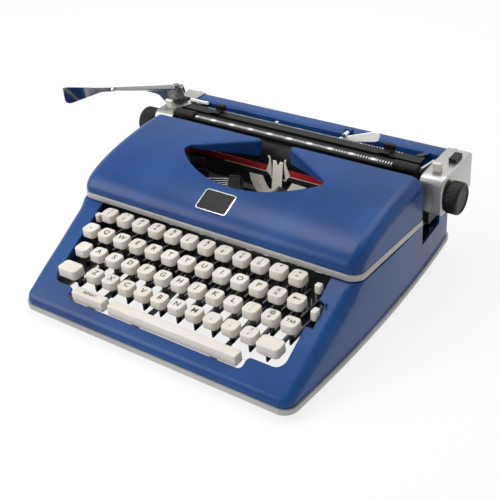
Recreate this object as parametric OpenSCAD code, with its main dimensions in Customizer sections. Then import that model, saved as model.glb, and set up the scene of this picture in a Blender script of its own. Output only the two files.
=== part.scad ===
// Portable manual typewriter with a lift-up hood, a sliding carriage and a four-row keyboard.
// X runs to the typist's right, Y to the back, Z up. The model is drawn from the middle of its casing and
// then moved, so that the origin is the middle of the whole machine, return lever included, on the table.
// Lengths are in millimetres.

/* [Base and casing] */
// Depth of the base rim, front to back
base_depth = 296; // [290:1:304]
// Width of the base rim half way back, where it is widest
base_width = 310; // [306:1:318]
// Radius of the gentle bow of the two long sides
side_bow_r = 1440; // [1200:10:2400]
// Corner radius of the base rim, seen from above
corner_r = 13; // [9:1:18]
// Height of the rubber feet
foot_h = 7; // [5:0.5:10]
// Radius of the rubber feet
foot_r = 11; // [8:0.5:13]
// Height of the base rim
rim_h = 5; // [4:0.5:7]
// How far the base rim stands proud of the casing
rim_proud = 1.6; // [1:0.1:2.2]
// Wall of the casing
case_wall = 2.4; // [1.6:0.1:3]
// Slope of the keyboard deck in degrees
deck_slope = 27.5; // [25:0.5:29]
// Rounding of the deck's long edges
deck_edge_r = 11; // [5:0.5:14]
// Rounding of the front lip
lip_r = 7; // [4:0.5:8]
// Height of the casing's back wall above the table
back_h = 66; // [62:0.5:67]
// Floor of the side cut-outs that the carriage passes through, above the table
cutout_z = 40; // [36:0.5:42]

/* [Hood] */
// Front edge of the hood, on Y
hood_front_y = -46; // [-48:0.5:-44]
// Back edge of the hood, on Y
hood_back_y = 70; // [68:0.5:71]
// Half width of the hood at its lower edge
hood_half_w = 152; // [150.5:0.25:152.5]
// Height above the table at which the hood starts to curve in
hood_spring_z = 79; // [76:0.5:82]
// Rise of the hood's crown above that height
hood_rise = 32; // [30:0.5:33]
// Rounding of the hood's two side edges
hood_edge_r = 12; // [8:0.5:14]
// Wall of the hood
hood_wall = 2.5; // [2:0.1:3]
// Fall of the hood's lower edge towards the back in degrees
trim_fall = 4.3; // [3:0.1:5]
// Height of the light trim strip along the hood's lower edge
trim_h = 8.5; // [6:0.5:10]
// How far the trim strip stands proud of the hood
trim_proud = 0.8; // [0.4:0.1:1.2]
// Half width of the type opening
opening_half_w = 77; // [70:0.5:80]
// Front edge of the type opening, on Y
opening_front_y = -8.5; // [-14:0.5:-4]
// Half width of the gap at the back of the type opening
opening_gap = 17; // [14:0.5:22]

/* [Keyboard] */
// Distance between neighbouring keys of a row
key_pitch = 19; // [18.6:0.1:19.4]
// Distance between rows on Y
row_step_y = 17.8; // [17.2:0.1:18.2]
// Distance between rows on Z
row_step_z = 9.5; // [9:0.1:10]
// Top row of keys, on Y
first_row_y = -56.7; // [-58:0.1:-56]
// Height of the top row's key faces
first_row_z = 72.1; // [71:0.1:74]
// Side of a square key top
cap_w = 14; // [12.5:0.1:14.2]
// Corner radius of a key top
cap_r = 4; // [2.5:0.1:5]
// Height of a key top
cap_h = 10; // [8:0.5:11]
// Width of the two shift keys
shift_w = 22; // [19:0.5:24]
// Thickness of a key lever
lever_t = 1.5; // [1.2:0.1:1.8]
// Height of a key lever
lever_h = 8; // [6:0.5:9]
// Radius of the rod that all key levers turn on
pivot_r = 2.5; // [2:0.1:3]
// Key lever rod, on Y
pivot_y = 70; // [66:0.5:72]
// Key lever rod, on Z
pivot_z = 30; // [28:0.5:32]
// Width of the space bar
space_w = 139.5; // [130:0.5:142]
// Width of the repeat bar
repeat_w = 37.5; // [34:0.5:40]

/* [Carriage] */
// Platen axis, on Y
platen_y = 94; // [93:0.5:95]
// Platen axis, on Z
platen_z = 85; // [84:0.5:86]
// Radius of the platen
platen_r = 17; // [15:0.25:17]
// Radius of the platen shaft
shaft_r = 4; // [3:0.1:5]
// Half the clear width between the carriage's end plates
carriage_half_w = 147; // [144:0.5:148]
// Thickness of the carriage's end plates
end_plate_t = 3; // [2:0.1:4]
// Width of the end covers
cover_w = 15; // [12:0.5:18]
// Top of the end covers, above the table
cover_top_z = 104; // [102:0.5:105]
// Back of the end covers, on Y
cover_back_y = 145.5; // [143:0.5:147]
// Front of the end covers, on Y
cover_front_y = 83; // [81:0.5:84]
// Radius of the platen knobs
knob_r = 15; // [12:0.5:16]
// Length of the right platen knob
knob_right_l = 13; // [10:0.5:18]
// Length of the left platen knob
knob_left_l = 20; // [14:0.5:24]
// Reach of the carriage return lever from its pivot
return_reach = 119; // [100:1:125]

/* [Type basket] */
// Number of type bars
type_bar_count = 44; // [36:2:44]
// Radius of the arc on which the type bars turn
segment_r = 28; // [27:0.5:30]
// Radius at which the type slugs rest
slug_r = 70; // [66:0.5:71]
// Tilt of the type basket towards the typist in degrees
basket_tilt = 28; // [24:1:30]

/* [Fits] */
// Running clearance of a shaft in its bore
run_clear = 0.06; // [0.03:0.01:0.1]
// Gap under a key top, so that it stays a piece of its own on its lever
cap_seat = 0.05; // [0.02:0.01:0.1]
// Clearance of a piece that slides on another
slide_clear = 0.3; // [0.2:0.05:0.4]

/* [Hidden] */
$fn = 64;
bow_fn = 720;
tiny = 0.01;
big = 400;

// Heights in the stack of feet, rim and casing
rim_z = foot_h;
case_z = foot_h + rim_h;
rim_flange_t = 2;
frame_low_z = rim_z + rim_flange_t;
half_d = base_depth / 2;
half_w = base_width / 2;
case_half_d = half_d - rim_proud;
bow_x = half_w - side_bow_r;
corner_y = half_d - corner_r;
corner_steps = 8;
lip_steps = 8;
edge_cross = 0.6;
cutout_y = [73, 115];
corner_x = bow_x + sqrt(pow(side_bow_r - corner_r, 2) - corner_y * corner_y);

// Hood, trim and casing meet along one sloping line
hood_depth = hood_back_y - hood_front_y;
hood_top_z = hood_spring_z + hood_rise;
arc_steps = 14;
edge_steps = 7;
skirt_h = 1;
skirt_z = hood_spring_z + skirt_h;
end_hollow = 0.5;
trim_gap = 1;
fall = tan(trim_fall);
function trim_top(y) = hood_spring_z - fall * (y - hood_front_y);
function case_top(y) = trim_top(y) - trim_h - trim_gap;
deck_end_y = hood_front_y - 2;
function deck_z(y) = case_top(deck_end_y) + tan(deck_slope) * (y - deck_end_y);

// Keyboard: row data, from the number row to the front row
row_count = 4;
row_keys = [12, 13, 13, 10];
site = key_pitch / 4;
row_start = [-22.579 * site, -24.579 * site, -23.579 * site, -17.579 * site];
function row_y(r) = first_row_y - r * row_step_y;
function row_z(r) = first_row_z - r * row_step_z;
function key_x(r, i) = row_start[r] + i * key_pitch;
lever_front_z = 26;
lever_step_z = 6.4;
function lever_z(r) = lever_front_z + (row_count - 1 - r) * lever_step_z;
hub_r = 5;
stem_w = 8;
dish_r = 60;
dish_depth = 0.7;
cap_step = 0.8;
top_letters = "qwertyuiop";
home_letters = "asdfghjkl";
shift_x = [-111.3, 109.6];
shift_lever_x = [key_x(3, -1), key_x(3, 10)];
shift_y = row_y(3) - 3;
shift_d = 15;
bail_rod_y = pivot_y + 11;
bail_rod_r = 2;
bar_y = -128.5;
bar_d = 9.5;
bar_top_z = 34;
bar_h = 10;
space_x = 18.75;
repeat_x = -75.25;
arm_t = 1.2;
arm_h = 6;
arm_front_z = 17;
arm_knee_y = -100;
function half_site_x(n) = row_start[0] + site / 2 + site * n;
space_arm_x = [half_site_x(17), half_site_x(35)];
repeat_arm_x = [half_site_x(6)];

// Keyboard well in the deck
well_half_w = 127;
well_front_y = -124;
well_r = 9;
bar_well_x = [-101, 94];
bar_well_y = -139;
bar_well_r = 4;
selector_slot_x = [126, 134];
selector_slot_y = [-88, -66];

// Frame
frame_x = 133;
frame_t = 2;
comb_y = -40;
comb_t = 3;
comb_z = [12, 64];
slot_z = [14, 50];
bridge_y = [44, 54];
bridge_z = [46, 52];
tray_z = 64;
tray_t = 2;
tray_x = 78;
tray_y = [4, 56];
hinge_y = 66;
hinge_z = 100;
hinge_pin_r = 2;
hinge_ear_r = 5;
hinge_ear_t = 3;

// Type basket
basket_y = 44;
basket_z = 84;
bar_spread = 150;
type_bar_t = 0.9;
slug_w = 3;
slug_l = 3;
slug_h = 9;
segment_half = 6;
segment_in = segment_r - segment_half;
segment_out = segment_r + segment_half;
segment_t = 10;

// Ribbon
ribbon_y = 70;
ribbon_z = [72, 83.5];
ribbon_t = 0.6;
spool_x = 100;
spool_y = 28;
spool_r = 20;
spool_core_r = 8;
spool_z = [67, 86];
spool_flange_t = 1.2;
spool_post_r = 2.5;
ribbon_post_x = 64;
ribbon_post_r = 1.5;

// Carriage
rail_y = [88, 100];
rail_z = [44, 50];
rail_groove = 1.5;
bed_z = [54, 57];
bed_y = [80, 111];
shoe_x = 21;
shoe_l = 18;
shoe_lip = 3;
plate_x = carriage_half_w;
cover_x = carriage_half_w + end_plate_t;
cover_out_x = cover_x + cover_w;
cover_low_z = 69;
cover_wall = 2;
cover_nose_r = 13.5;
nose_steps = 12;
shaft_hole_r = shaft_r + 2;
knob_gap = 1;
platen_half_l = carriage_half_w - 15;
margin_rail_y = [100, 111];
margin_rail_z = [103, 107.5];
margin_rail_half_l = carriage_half_w - 13;
stop_x = [-96, 98];
stop_w = 12;
table_t = 2;
table_profile = [[113, 88], [116, 94], [130, 103.5], [142, 103.5], [145, 100.5], [145, 69]];
bail_pivot = [128, 98.5];
bail_pin_r = 2;
bail_angle = 101.3;
bail_gap = 1.7;
bail_t = 3.5;
bail_w = 10;
bail_half_l = carriage_half_w - 21;
bail_arm_x = carriage_half_w - 8;
bail_arm_t = 2;
support_x = 46;
support_y = 121;
support_rise = 17;
support_hub_r = 3.5;
support_pin_r = 1.5;
table_front_x = carriage_half_w - 10.5;
support_l = 38;
support_w = 8;
support_t = 2;
support_z = 107;
return_pivot = [-carriage_half_w - 10, 115];
return_post_r = 3;
return_hub_r = 8;
return_z = 107;
return_hub_h = 13;
return_angle = 32.6;
return_blade_w = 14;
return_blade_t = 2.6;
tab_pivot = [112, 90];
tab_pin_r = 2;
tab_slot_x = [cover_x, cover_x + 6];
tab_slot_y = [88, 108];
button_x = cover_x + cover_w / 2;
button_y = 124;
button_w = 7;
button_l = 14;

// The frame's origin lies half way between the return lever's tip and the right knob
left_end_x = return_pivot[0] - return_reach * cos(return_angle) - return_blade_t / 2 * sin(return_angle);
right_end_x = cover_out_x + knob_gap + knob_right_l;
middle_x = (left_end_x + right_end_x) / 2;

paint = "#24509a";
cream = "#e5dfd6";
silver = "#b8b6b2";
black = "#222222";

// Drawing helpers

// Outline of the machine from above: bowed sides with round corners, drawn inset from the rim
module plan(inset) {
    r = corner_r - inset;
    meet = asin(corner_y / (side_bow_r - corner_r)) + 6;
    arc = [for (k = [0:corner_steps])
        let (a = meet + (90 - meet) * k / corner_steps)
        [corner_x + r * cos(a), corner_y + r * sin(a)]];
    run_out = arc[0] + corner_r * 5 * [sin(meet), -cos(meet)];
    quarter = concat([run_out], arc);
    upper = concat(quarter, [for (k = [len(quarter) - 1:-1:0]) [-quarter[k][0], quarter[k][1]]]);
    intersection() {
        translate([bow_x, 0]) circle(side_bow_r - inset, $fn = bow_fn);
        translate([-bow_x, 0]) circle(side_bow_r - inset, $fn = bow_fn);
        polygon(concat(
            upper,
            [for (k = [len(upper) - 1:-1:0]) [upper[k][0], -upper[k][1]]]));
    }
}

// Rectangle with round corners between two corner points
module rounded(from, to, r) {
    translate([from[0] + r, from[1]]) square([to[0] - from[0] - 2 * r, to[1] - from[1]]);
    translate([from[0], from[1] + r]) square([to[0] - from[0], to[1] - from[1] - 2 * r]);
    for (x = [from[0] + r, to[0] - r], y = [from[1] + r, to[1] - r]) {
        translate([x, y]) circle(r);
    }
}

// Plate that stands across X, from an outline in Y and Z
module across(x, t) {
    translate([x, 0, 0]) rotate([90, 0, 90]) linear_extrude(t) children();
}

// Block between two corners
module block(from, to) {
    translate(from) cube(to - from);
}

// Cylinder along X between two places
module rod_x(x0, x1, y, z, r) {
    translate([x0, y, z]) rotate([0, 90, 0]) cylinder(h = x1 - x0, r = r);
}

module left_and_right() {
    children();
    mirror([1, 0, 0]) children();
}

function flat(list) = [for (row = list) for (item = row) item];

// Two triangles for each square of a grid of points
function grid_faces(n, m, first, flip) = [
    for (i = [0:n - 2], j = [0:m - 2])
        let (a = first + i * m + j, b = a + 1, c = a + m + 1, d = a + m)
            each flip ? [[a, b, c], [a, c, d]] : [[c, b, a], [d, c, a]]
];

// Two triangles for each step between two rows of point numbers
function strip_faces(p, q) = [
    for (i = [0:len(p) - 2]) each [[p[i], p[i + 1], q[i + 1]], [p[i], q[i + 1], q[i]]]
];

// Sheet with a thickness: an outer and an inner grid, closed along all four edges
module thick_sheet(outer, inner) {
    n = len(outer);
    m = len(outer[0]);
    size = n * m;
    low = [for (i = [0:n - 1]) i * m];
    high = [for (i = [0:n - 1]) i * m + m - 1];
    start = [for (j = [0:m - 1]) j];
    end = [for (j = [0:m - 1]) (n - 1) * m + j];
    polyhedron(
        points = concat(flat(outer), flat(inner)),
        faces = concat(
            grid_faces(n, m, 0, true),
            grid_faces(n, m, size, false),
            strip_faces(low, [for (k = low) k + size]),
            strip_faces([for (k = high) k + size], high),
            strip_faces([for (k = start) k + size], start),
            strip_faces(end, [for (k = end) k + size])),
        convexity = 8);
}

// Base

module rubber_feet() {
    chamfer = 2;
    color(black)
        for (x = [-1, 1], y = [-1, 1]) {
            translate([x * (corner_x - foot_r), y * (corner_y - foot_r), 0]) {
                cylinder(h = chamfer, r1 = foot_r - chamfer, r2 = foot_r);
                translate([0, 0, chamfer]) cylinder(h = foot_h - chamfer, r = foot_r);
            }
        }
}

module base_rim() {
    ring_t = 3.5;
    floor_half_w = frame_x - frame_t;
    pad = 2 * foot_r + 4;
    color(silver)
        translate([0, 0, rim_z])
            difference() {
                linear_extrude(rim_h) plan(0);
                translate([0, 0, rim_flange_t]) linear_extrude(rim_h) plan(ring_t);
                translate([0, 0, -1])
                    linear_extrude(rim_h)
                        difference() {
                            rounded([-floor_half_w, bar_well_y - 2], [floor_half_w, half_d - 24], 3);
                            for (x = [-1, 1], y = [-1, 1]) {
                                translate([x * corner_x, y * corner_y]) square(2 * pad, center = true);
                            }
                        }
            }
}

// Side view of the casing; inner is 1 for the hollow and 0 for the outside
module case_profile(inner) {
    wall = inner * case_wall;
    drop = wall / cos(deck_slope);
    front = -case_half_d + wall;
    back = case_half_d - wall;
    arc_y = lip_r - case_half_d;
    arc_z = deck_z(arc_y) - lip_r / cos(deck_slope);
    low = inner == 1 ? 0 : case_z;
    polygon(concat(
        [[front, low]],
        [for (k = [0:lip_steps])
            let (a = 180 - (90 - deck_slope) * k / lip_steps)
            [arc_y + (lip_r - wall) * cos(a), arc_z + (lip_r - wall) * sin(a)]],
        inner == 1
            ? [[deck_end_y, deck_z(deck_end_y) - drop], [deck_end_y, big], [back, big]]
            : [[deck_end_y, deck_z(deck_end_y)], [cutout_y[0], case_top(cutout_y[0])],
               [cutout_y[0], cutout_z], [cutout_y[1], cutout_z], [cutout_y[1], back_h], [back, back_h]],
        [[back, low]]));
}

// Opening in the deck for the keys, the two bars and the ribbon selector
module keyboard_well() {
    rounded([-well_half_w, well_front_y], [well_half_w, 0], well_r);
    rounded([bar_well_x[0], bar_well_y], [bar_well_x[1], well_front_y + 3 * bar_well_r], bar_well_r);
    translate([selector_slot_x[0] - 2, selector_slot_y[0]])
        square([selector_slot_x[1] - selector_slot_x[0] + 2, selector_slot_y[1] - selector_slot_y[0]]);
}

// Takes the sharp edge off one side of the sloping deck
module deck_edge_cutter(arc_r) {
    front_x = corner_x + corner_r - rim_proud;
    back_x = half_w - rim_proud - pow(deck_end_y, 2) / (2 * side_bow_r);
    run = (case_half_d - corner_r + deck_end_y) / cos(deck_slope);
    translate([back_x, deck_end_y, deck_z(deck_end_y)])
        rotate([deck_slope, 0, 0])
            rotate([0, 0, -atan((back_x - front_x) / run)])
                translate([edge_cross - deck_edge_r, 0, edge_cross / 2 - deck_edge_r])
                    rotate([90, 0, 0])
                        linear_extrude(1.6 * run)
                            difference() {
                                square(2 * deck_edge_r);
                                circle(arc_r);
                            }
}

module body_shell() {
    color(paint)
        difference() {
            intersection() {
                linear_extrude(big) plan(rim_proud);
                across(-big / 2, big) case_profile(0);
            }
            difference() {
                intersection() {
                    linear_extrude(2 * big) plan(rim_proud + case_wall);
                    across(-big / 2, big) case_profile(1);
                }
                left_and_right() deck_edge_cutter(deck_edge_r - case_wall);
            }
            linear_extrude(big) keyboard_well();
            left_and_right() deck_edge_cutter(deck_edge_r);
        }
}

// Frame inside the casing

module side_plate_outline() {
    low = frame_low_z;
    difference() {
        union() {
            polygon([[comb_y - 14, low], [124, low], [124, 42], [rail_y[1] + 8, bed_z[0] - 2],
                     [cutout_y[0] + 2, bed_z[0] - 2], [cutout_y[0] + 2, tray_z], [-4, tray_z],
                     [comb_y + 12, comb_z[1]], [comb_y - 4, comb_z[1]],
                     [comb_y - 14, comb_z[1] - 16]]);
            translate([hinge_y - hinge_ear_r, tray_z - 4]) square([2 * hinge_ear_r, hinge_z - tray_z + 4]);
            translate([hinge_y, hinge_z]) circle(hinge_ear_r);
        }
        translate([pivot_y, pivot_z]) circle(pivot_r + run_clear);
        translate([hinge_y, hinge_z]) circle(hinge_pin_r + run_clear);
        rounded([-20, low + 10], [50, tray_z - 14], 8);
    }
}

module chassis() {
    low = frame_low_z;
    tie_t = 3;
    color(black) {
        left_and_right() {
            across(frame_x, frame_t) side_plate_outline();
            block([tray_x, tray_y[0], tray_z - tray_t], [frame_x, tray_y[1], tray_z]);
            translate([spool_x, spool_y, tray_z]) cylinder(h = spool_z[1] - tray_z + 3, r = spool_post_r);
            translate([ribbon_post_x + 14, tray_y[1] - 4, tray_z - tray_t])
                cylinder(h = ribbon_z[1] - tray_z + tray_t + 1, r = ribbon_post_r);
        }
        block([-frame_x, comb_y - 8, low], [frame_x, comb_y + 4, low + tie_t]);
        block([-frame_x, 108, low], [frame_x, 124, low + tie_t]);
        block([-frame_x, bridge_y[0], bridge_z[0]], [frame_x, bridge_y[1], bridge_z[1]]);
    }
}

module key_comb() {
    lever_slot = lever_t + 2 * slide_clear;
    arm_slot = arm_t + 2 * slide_clear;
    color(black)
        translate([0, comb_y + comb_t, 0])
            rotate([90, 0, 0])
                linear_extrude(comb_t)
                    difference() {
                        translate([-frame_x, comb_z[0]]) square([2 * frame_x, comb_z[1] - comb_z[0]]);
                        for (r = [0:row_count - 1], i = [0:row_keys[r] - 1]) {
                            comb_slot(key_x(r, i), lever_slot);
                        }
                        for (x = shift_lever_x) comb_slot(x, lever_slot);
                        for (x = concat(space_arm_x, repeat_arm_x)) comb_slot(x, arm_slot);
                    }
}

module comb_slot(x, w) {
    translate([x - w / 2, slot_z[0]]) square([w, slot_z[1] - slot_z[0]]);
}

module key_pivot_rod() {
    end = frame_x + frame_t + 1.5;
    color("silver") rod_x(-end, end, pivot_y, pivot_z, pivot_r);
}

// Keys

// Straight bar in Y and Z between two points, of one height
module bar_2d(p, q, h) {
    polygon([[p[0], p[1] - h / 2], [q[0], q[1] - h / 2], [q[0], q[1] + h / 2], [p[0], p[1] + h / 2]]);
}

module lever_hub() {
    translate([pivot_y, pivot_z]) circle(hub_r);
}

module pivot_bore() {
    translate([pivot_y, pivot_z]) circle(pivot_r + run_clear);
}

// Lever of one key: a plate from the rod to below the key, and its stem
module key_lever(x, front_y, front_z, top_z) {
    across(x - lever_t / 2, lever_t)
        difference() {
            union() {
                bar_2d([front_y - stem_w / 2, front_z], [pivot_y, pivot_z], lever_h);
                translate([front_y - stem_w / 2, front_z]) square([stem_w, top_z - cap_seat - front_z]);
                lever_hub();
            }
            pivot_bore();
        }
}

// Key top with a stepped upper edge and a dished face
module key_cap(x, y, z, w, d) {
    r = cap_r;
    translate([x, y, z - cap_h])
        difference() {
            union() {
                linear_extrude(cap_h - cap_step) rounded([-w / 2, -d / 2], [w / 2, d / 2], r);
                translate([0, 0, cap_h - cap_step - tiny])
                    linear_extrude(cap_step + tiny)
                        rounded([cap_step - w / 2, cap_step - d / 2], [w / 2 - cap_step, d / 2 - cap_step],
                                r - cap_step);
            }
            translate([0, 0, cap_h - dish_depth + dish_r]) sphere(dish_r);
        }
}

// One key of a row: its top and its lever
module key(r, i) {
    color(cream) key_cap(key_x(r, i), row_y(r), row_z(r), cap_w, cap_w);
    color(black) key_lever(key_x(r, i), row_y(r), lever_z(r), row_z(r) - cap_h);
}

module number_keys() {
    for (i = [0:row_keys[0] - 1]) key(0, i);
}

module bottom_keys() {
    for (i = [0:row_keys[3] - 1]) key(3, i);
}

module mark_keys() {
    key(1, 0);
    key(1, 11);
    key(2, 10);
    key(2, 11);
}

module backspace_key() {
    key(1, 12);
}

module shift_lock() {
    key(2, 0);
}

module tab_key() {
    key(2, 12);
}

// Both shift keys turn together on a rod behind the pivot
module shift_keys() {
    z = row_z(3);
    foot_t = 3;
    for (k = [0, 1]) {
        x = shift_lever_x[k];
        color(cream) key_cap(shift_x[k], shift_y, z, shift_w, shift_d);
        color(black) {
            key_lever(x, shift_y, lever_z(3), z - cap_h - foot_t + 1);
            block([min(x, shift_x[k]) - 2, shift_y - stem_w / 2, z - cap_h - foot_t],
                  [max(x, shift_x[k]) + 2, shift_y + stem_w / 2, z - cap_h - cap_seat]);
            across(x - lever_t / 2, lever_t)
                difference() {
                    bar_2d([pivot_y + hub_r - 1, pivot_z], [bail_rod_y + 2 * bail_rod_r, pivot_z], lever_h);
                    translate([bail_rod_y, pivot_z]) circle(bail_rod_r + run_clear);
                }
        }
    }
    color("silver")
        rod_x(shift_lever_x[0] - lever_t, shift_lever_x[1] + lever_t, bail_rod_y, pivot_z, bail_rod_r);
}

// Wide bar at the front edge, on low arms
module front_bar(x, w, arms) {
    edge_r = 2;
    top_edge = 2.5;
    low = bar_top_z - bar_h;
    color(cream)
        intersection() {
            translate([x, bar_y, low])
                linear_extrude(bar_h) rounded([-w / 2, -bar_d / 2], [w / 2, bar_d / 2], edge_r);
            across(x - w / 2, w)
                translate([bar_y, low]) {
                    rounded([-bar_d / 2, 0], [bar_d / 2, bar_h], top_edge);
                    translate([-bar_d / 2, 0]) square([bar_d, bar_h / 2]);
                }
        }
    color(black)
        for (ax = arms) {
            across(ax - arm_t / 2, arm_t)
                difference() {
                    union() {
                        bar_2d([arm_knee_y, arm_front_z], [pivot_y, pivot_z], arm_h);
                        bar_2d([bar_y - stem_w / 2, arm_front_z], [arm_knee_y, arm_front_z], arm_h);
                        translate([bar_y - stem_w / 2, arm_front_z])
                            square([stem_w, low - cap_seat - arm_front_z]);
                        lever_hub();
                    }
                    pivot_bore();
                }
        }
}

module space_bar() {
    front_bar(space_x, space_w, space_arm_x);
}

module repeat_bar() {
    front_bar(repeat_x, repeat_w, repeat_arm_x);
}

// Slides in the slot beside the keys to choose the ribbon's colour
module ribbon_selector() {
    x = (selector_slot_x[0] + selector_slot_x[1]) / 2;
    y = (selector_slot_y[0] + selector_slot_y[1]) / 2;
    arm_x = frame_x - slide_clear;
    arm_z = [38, 46];
    color(cream)
        translate([x - 3, y - 4, deck_z(y) - 4])
            linear_extrude(10) rounded([0, 0], [6, 8], 2);
    color(black) {
        block([arm_x - lever_t, y - 3, arm_z[0]], [arm_x, comb_y - 7, arm_z[1]]);
        block([arm_x - lever_t, y - 3, arm_z[0]], [arm_x, y + 3, deck_z(y) - 4 - cap_seat]);
    }
}

// Small cream tabs at the back corners of the keyboard
module side_tab(sx) {
    x = sx * 122;
    y = -56;
    z = 70;
    color(cream)
        translate([x - 3, y - 3, z - 11]) linear_extrude(11) rounded([0, 0], [6, 6], 2);
    color(black) block([x - 1, y - 2, z - 14], [x + 1, comb_y - slide_clear, z - 11]);
}

module carriage_lock_tab() {
    side_tab(-1);
}

module margin_release_tab() {
    side_tab(1);
}

// Type basket

// Places children on the tilted fan, at one bar's angle, with X pointing outwards
module on_fan(k) {
    angle = 180 + (180 - bar_spread) / 2 + bar_spread * k / (type_bar_count - 1);
    translate([0, basket_y, basket_z]) rotate([basket_tilt, 0, 0]) rotate([0, 0, angle]) children();
}

module type_segment() {
    slot = type_bar_t + 0.4;
    slot_floor = 3;
    color("dimgray")
        difference() {
            union() {
                translate([0, basket_y, basket_z])
                    rotate([basket_tilt, 0, 0])
                        rotate([0, 0, 180])
                            rotate_extrude(angle = 180)
                                translate([segment_in, -segment_t / 2])
                                    square([segment_out - segment_in, segment_t]);
                left_and_right()
                    block([segment_in, bridge_y[0] - 2, bridge_z[1]],
                          [segment_out, bridge_y[1] - 2, basket_z + 4]);
            }
            for (k = [0:type_bar_count - 1]) {
                on_fan(k)
                    translate([segment_in - 1, -slot / 2, slot_floor - segment_t / 2])
                        cube([segment_out - segment_in + 2, slot, segment_t]);
            }
        }
}

module type_bars() {
    seat = 3.2 - segment_t / 2;
    color("gray")
        for (k = [0:type_bar_count - 1]) {
            on_fan(k) {
                translate([segment_in + 2, -type_bar_t / 2, seat])
                    cube([slug_r - segment_in - 2, type_bar_t, 3]);
                translate([slug_r, -slug_w / 2, seat - 1]) cube([slug_l, slug_w, slug_h]);
            }
        }
}

// Bright guide at the printing point: tongue, two ears and two wings on a foot plate
module type_guide() {
    guide_t = 1.5;
    tongue_w = 9;
    ear_w = 3;
    ear_x = 8;
    guide_y = ribbon_y - ribbon_t / 2 - guide_t - slide_clear;
    foot_z = bridge_z[1];
    foot_half_w = 20;
    wing_x = [17, 32];
    wing_top = ribbon_z[0] - slide_clear;
    crotch_z = wing_top - 11;
    color("silver")
        difference() {
            union() {
                block([-tongue_w / 2, guide_y, foot_z], [tongue_w / 2, guide_y + guide_t, platen_z + 6]);
                for (s = [-1, 1]) {
                    block([s * ear_x - ear_w / 2, guide_y, foot_z],
                          [s * ear_x + ear_w / 2, guide_y + guide_t, platen_z + 7]);
                }
                translate([0, guide_y + guide_t, 0])
                    rotate([90, 0, 0])
                        linear_extrude(guide_t)
                            polygon([[-foot_half_w, foot_z], [foot_half_w, foot_z], [wing_x[1], wing_top],
                                     [wing_x[0], wing_top], [ear_x, crotch_z], [-ear_x, crotch_z],
                                     [-wing_x[0], wing_top], [-wing_x[1], wing_top]]);
                block([-foot_half_w, bridge_y[0], foot_z],
                      [foot_half_w, guide_y + guide_t, foot_z + guide_t]);
            }
            translate([0, guide_y - 1, platen_z + 7])
                rotate([-90, 0, 0]) cylinder(h = guide_t + 2, r = 2);
        }
}

// Ribbon across the printing point, from spool to spool
module ribbon() {
    bend = 0.85 * (ribbon_post_r + 0.1);
    post = [ribbon_post_x + 14 + bend, tray_y[1] - 4 + bend];
    half = ribbon_t / 2;
    reach = spool_x - spool_core_r - 1;
    front = [[ribbon_post_x, ribbon_y - half], post, [reach, spool_y + 2]];
    back = [[reach + ribbon_t, spool_y + 2], post + [half, half] * 1.5, [ribbon_post_x, ribbon_y + half]];
    right = concat(front, back);
    color("firebrick")
        translate([0, 0, ribbon_z[0]])
            linear_extrude(ribbon_z[1] - ribbon_z[0])
                polygon(concat(right, [for (k = [5:-1:0]) [-right[k][0], right[k][1]]]));
}

module ribbon_spool(sx) {
    color("dimgray")
        translate([sx * spool_x, spool_y, 0])
            difference() {
                union() {
                    translate([0, 0, spool_z[0]]) cylinder(h = spool_z[1] - spool_z[0], r = spool_core_r);
                    for (z = [spool_z[0], spool_z[1] - spool_flange_t]) {
                        translate([0, 0, z]) cylinder(h = spool_flange_t, r = spool_r);
                    }
                }
                translate([0, 0, spool_z[0] - 1])
                    cylinder(h = spool_z[1] - spool_z[0] + 2, r = spool_post_r + run_clear);
            }
}

module ribbon_spool_left() {
    ribbon_spool(-1);
}

module ribbon_spool_right() {
    ribbon_spool(1);
}

// Hood

// One cut through the hood: skirt, then a quarter ellipse. side is -1 or 1, and a runs from 0, where the
// edge rounding starts, to 90 on the end wall
function hood_section(side, a, t) =
    let (r = hood_edge_r - t, drop = r * (1 - cos(a)), depth = hood_depth - t - drop,
         rise = hood_rise - skirt_h - t - drop, x = side * (hood_half_w - t - r * (1 - sin(a))),
         front = hood_back_y - depth)
    concat([[x, front, trim_top(front)]],
           [for (j = [0:arc_steps])
               let (c = 90 * j / arc_steps)
               [x, hood_back_y - depth * cos(c), skirt_z + rise * sin(c)]]);

// Upright back edge that closes the side of the hood, a little hollow
function hood_end(side, t) =
    let (low = trim_top(hood_back_y), high = skirt_z + hood_rise - skirt_h - hood_edge_r - 2)
    [for (j = [0:arc_steps + 1])
        [side * (hood_half_w - t), hood_back_y - end_hollow * sin(180 * j / (arc_steps + 2)),
         low + (high - low) * j / (arc_steps + 1)]];

function hood_grid(t) = concat(
    [hood_end(-1, t)],
    [for (k = [edge_steps:-1:0]) hood_section(-1, 90 * k / edge_steps, t)],
    [for (k = [0:edge_steps]) hood_section(1, 90 * k / edge_steps, t)],
    [hood_end(1, t)]);

// Lens-shaped opening over the type basket, open to the back in the middle
module type_opening() {
    tip_r = 7;
    tip_y = 24;
    chord = tip_y - opening_front_y;
    front_r = (opening_half_w * opening_half_w + chord * chord) / (2 * chord);
    intersection() {
        translate([0, opening_front_y + front_r]) circle(front_r);
        union() {
            translate([-opening_half_w, opening_front_y - 1]) square([2 * opening_half_w, chord + 1]);
            polygon([[-opening_half_w, tip_y - tiny], [opening_half_w, tip_y - tiny],
                     [opening_half_w - 1, tip_y + tip_r], [opening_gap, hood_back_y - 3],
                     [opening_gap, hood_back_y + 5], [-opening_gap, hood_back_y + 5],
                     [-opening_gap, hood_back_y - 3], [1 - opening_half_w, tip_y + tip_r]]);
        }
    }
}

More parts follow.
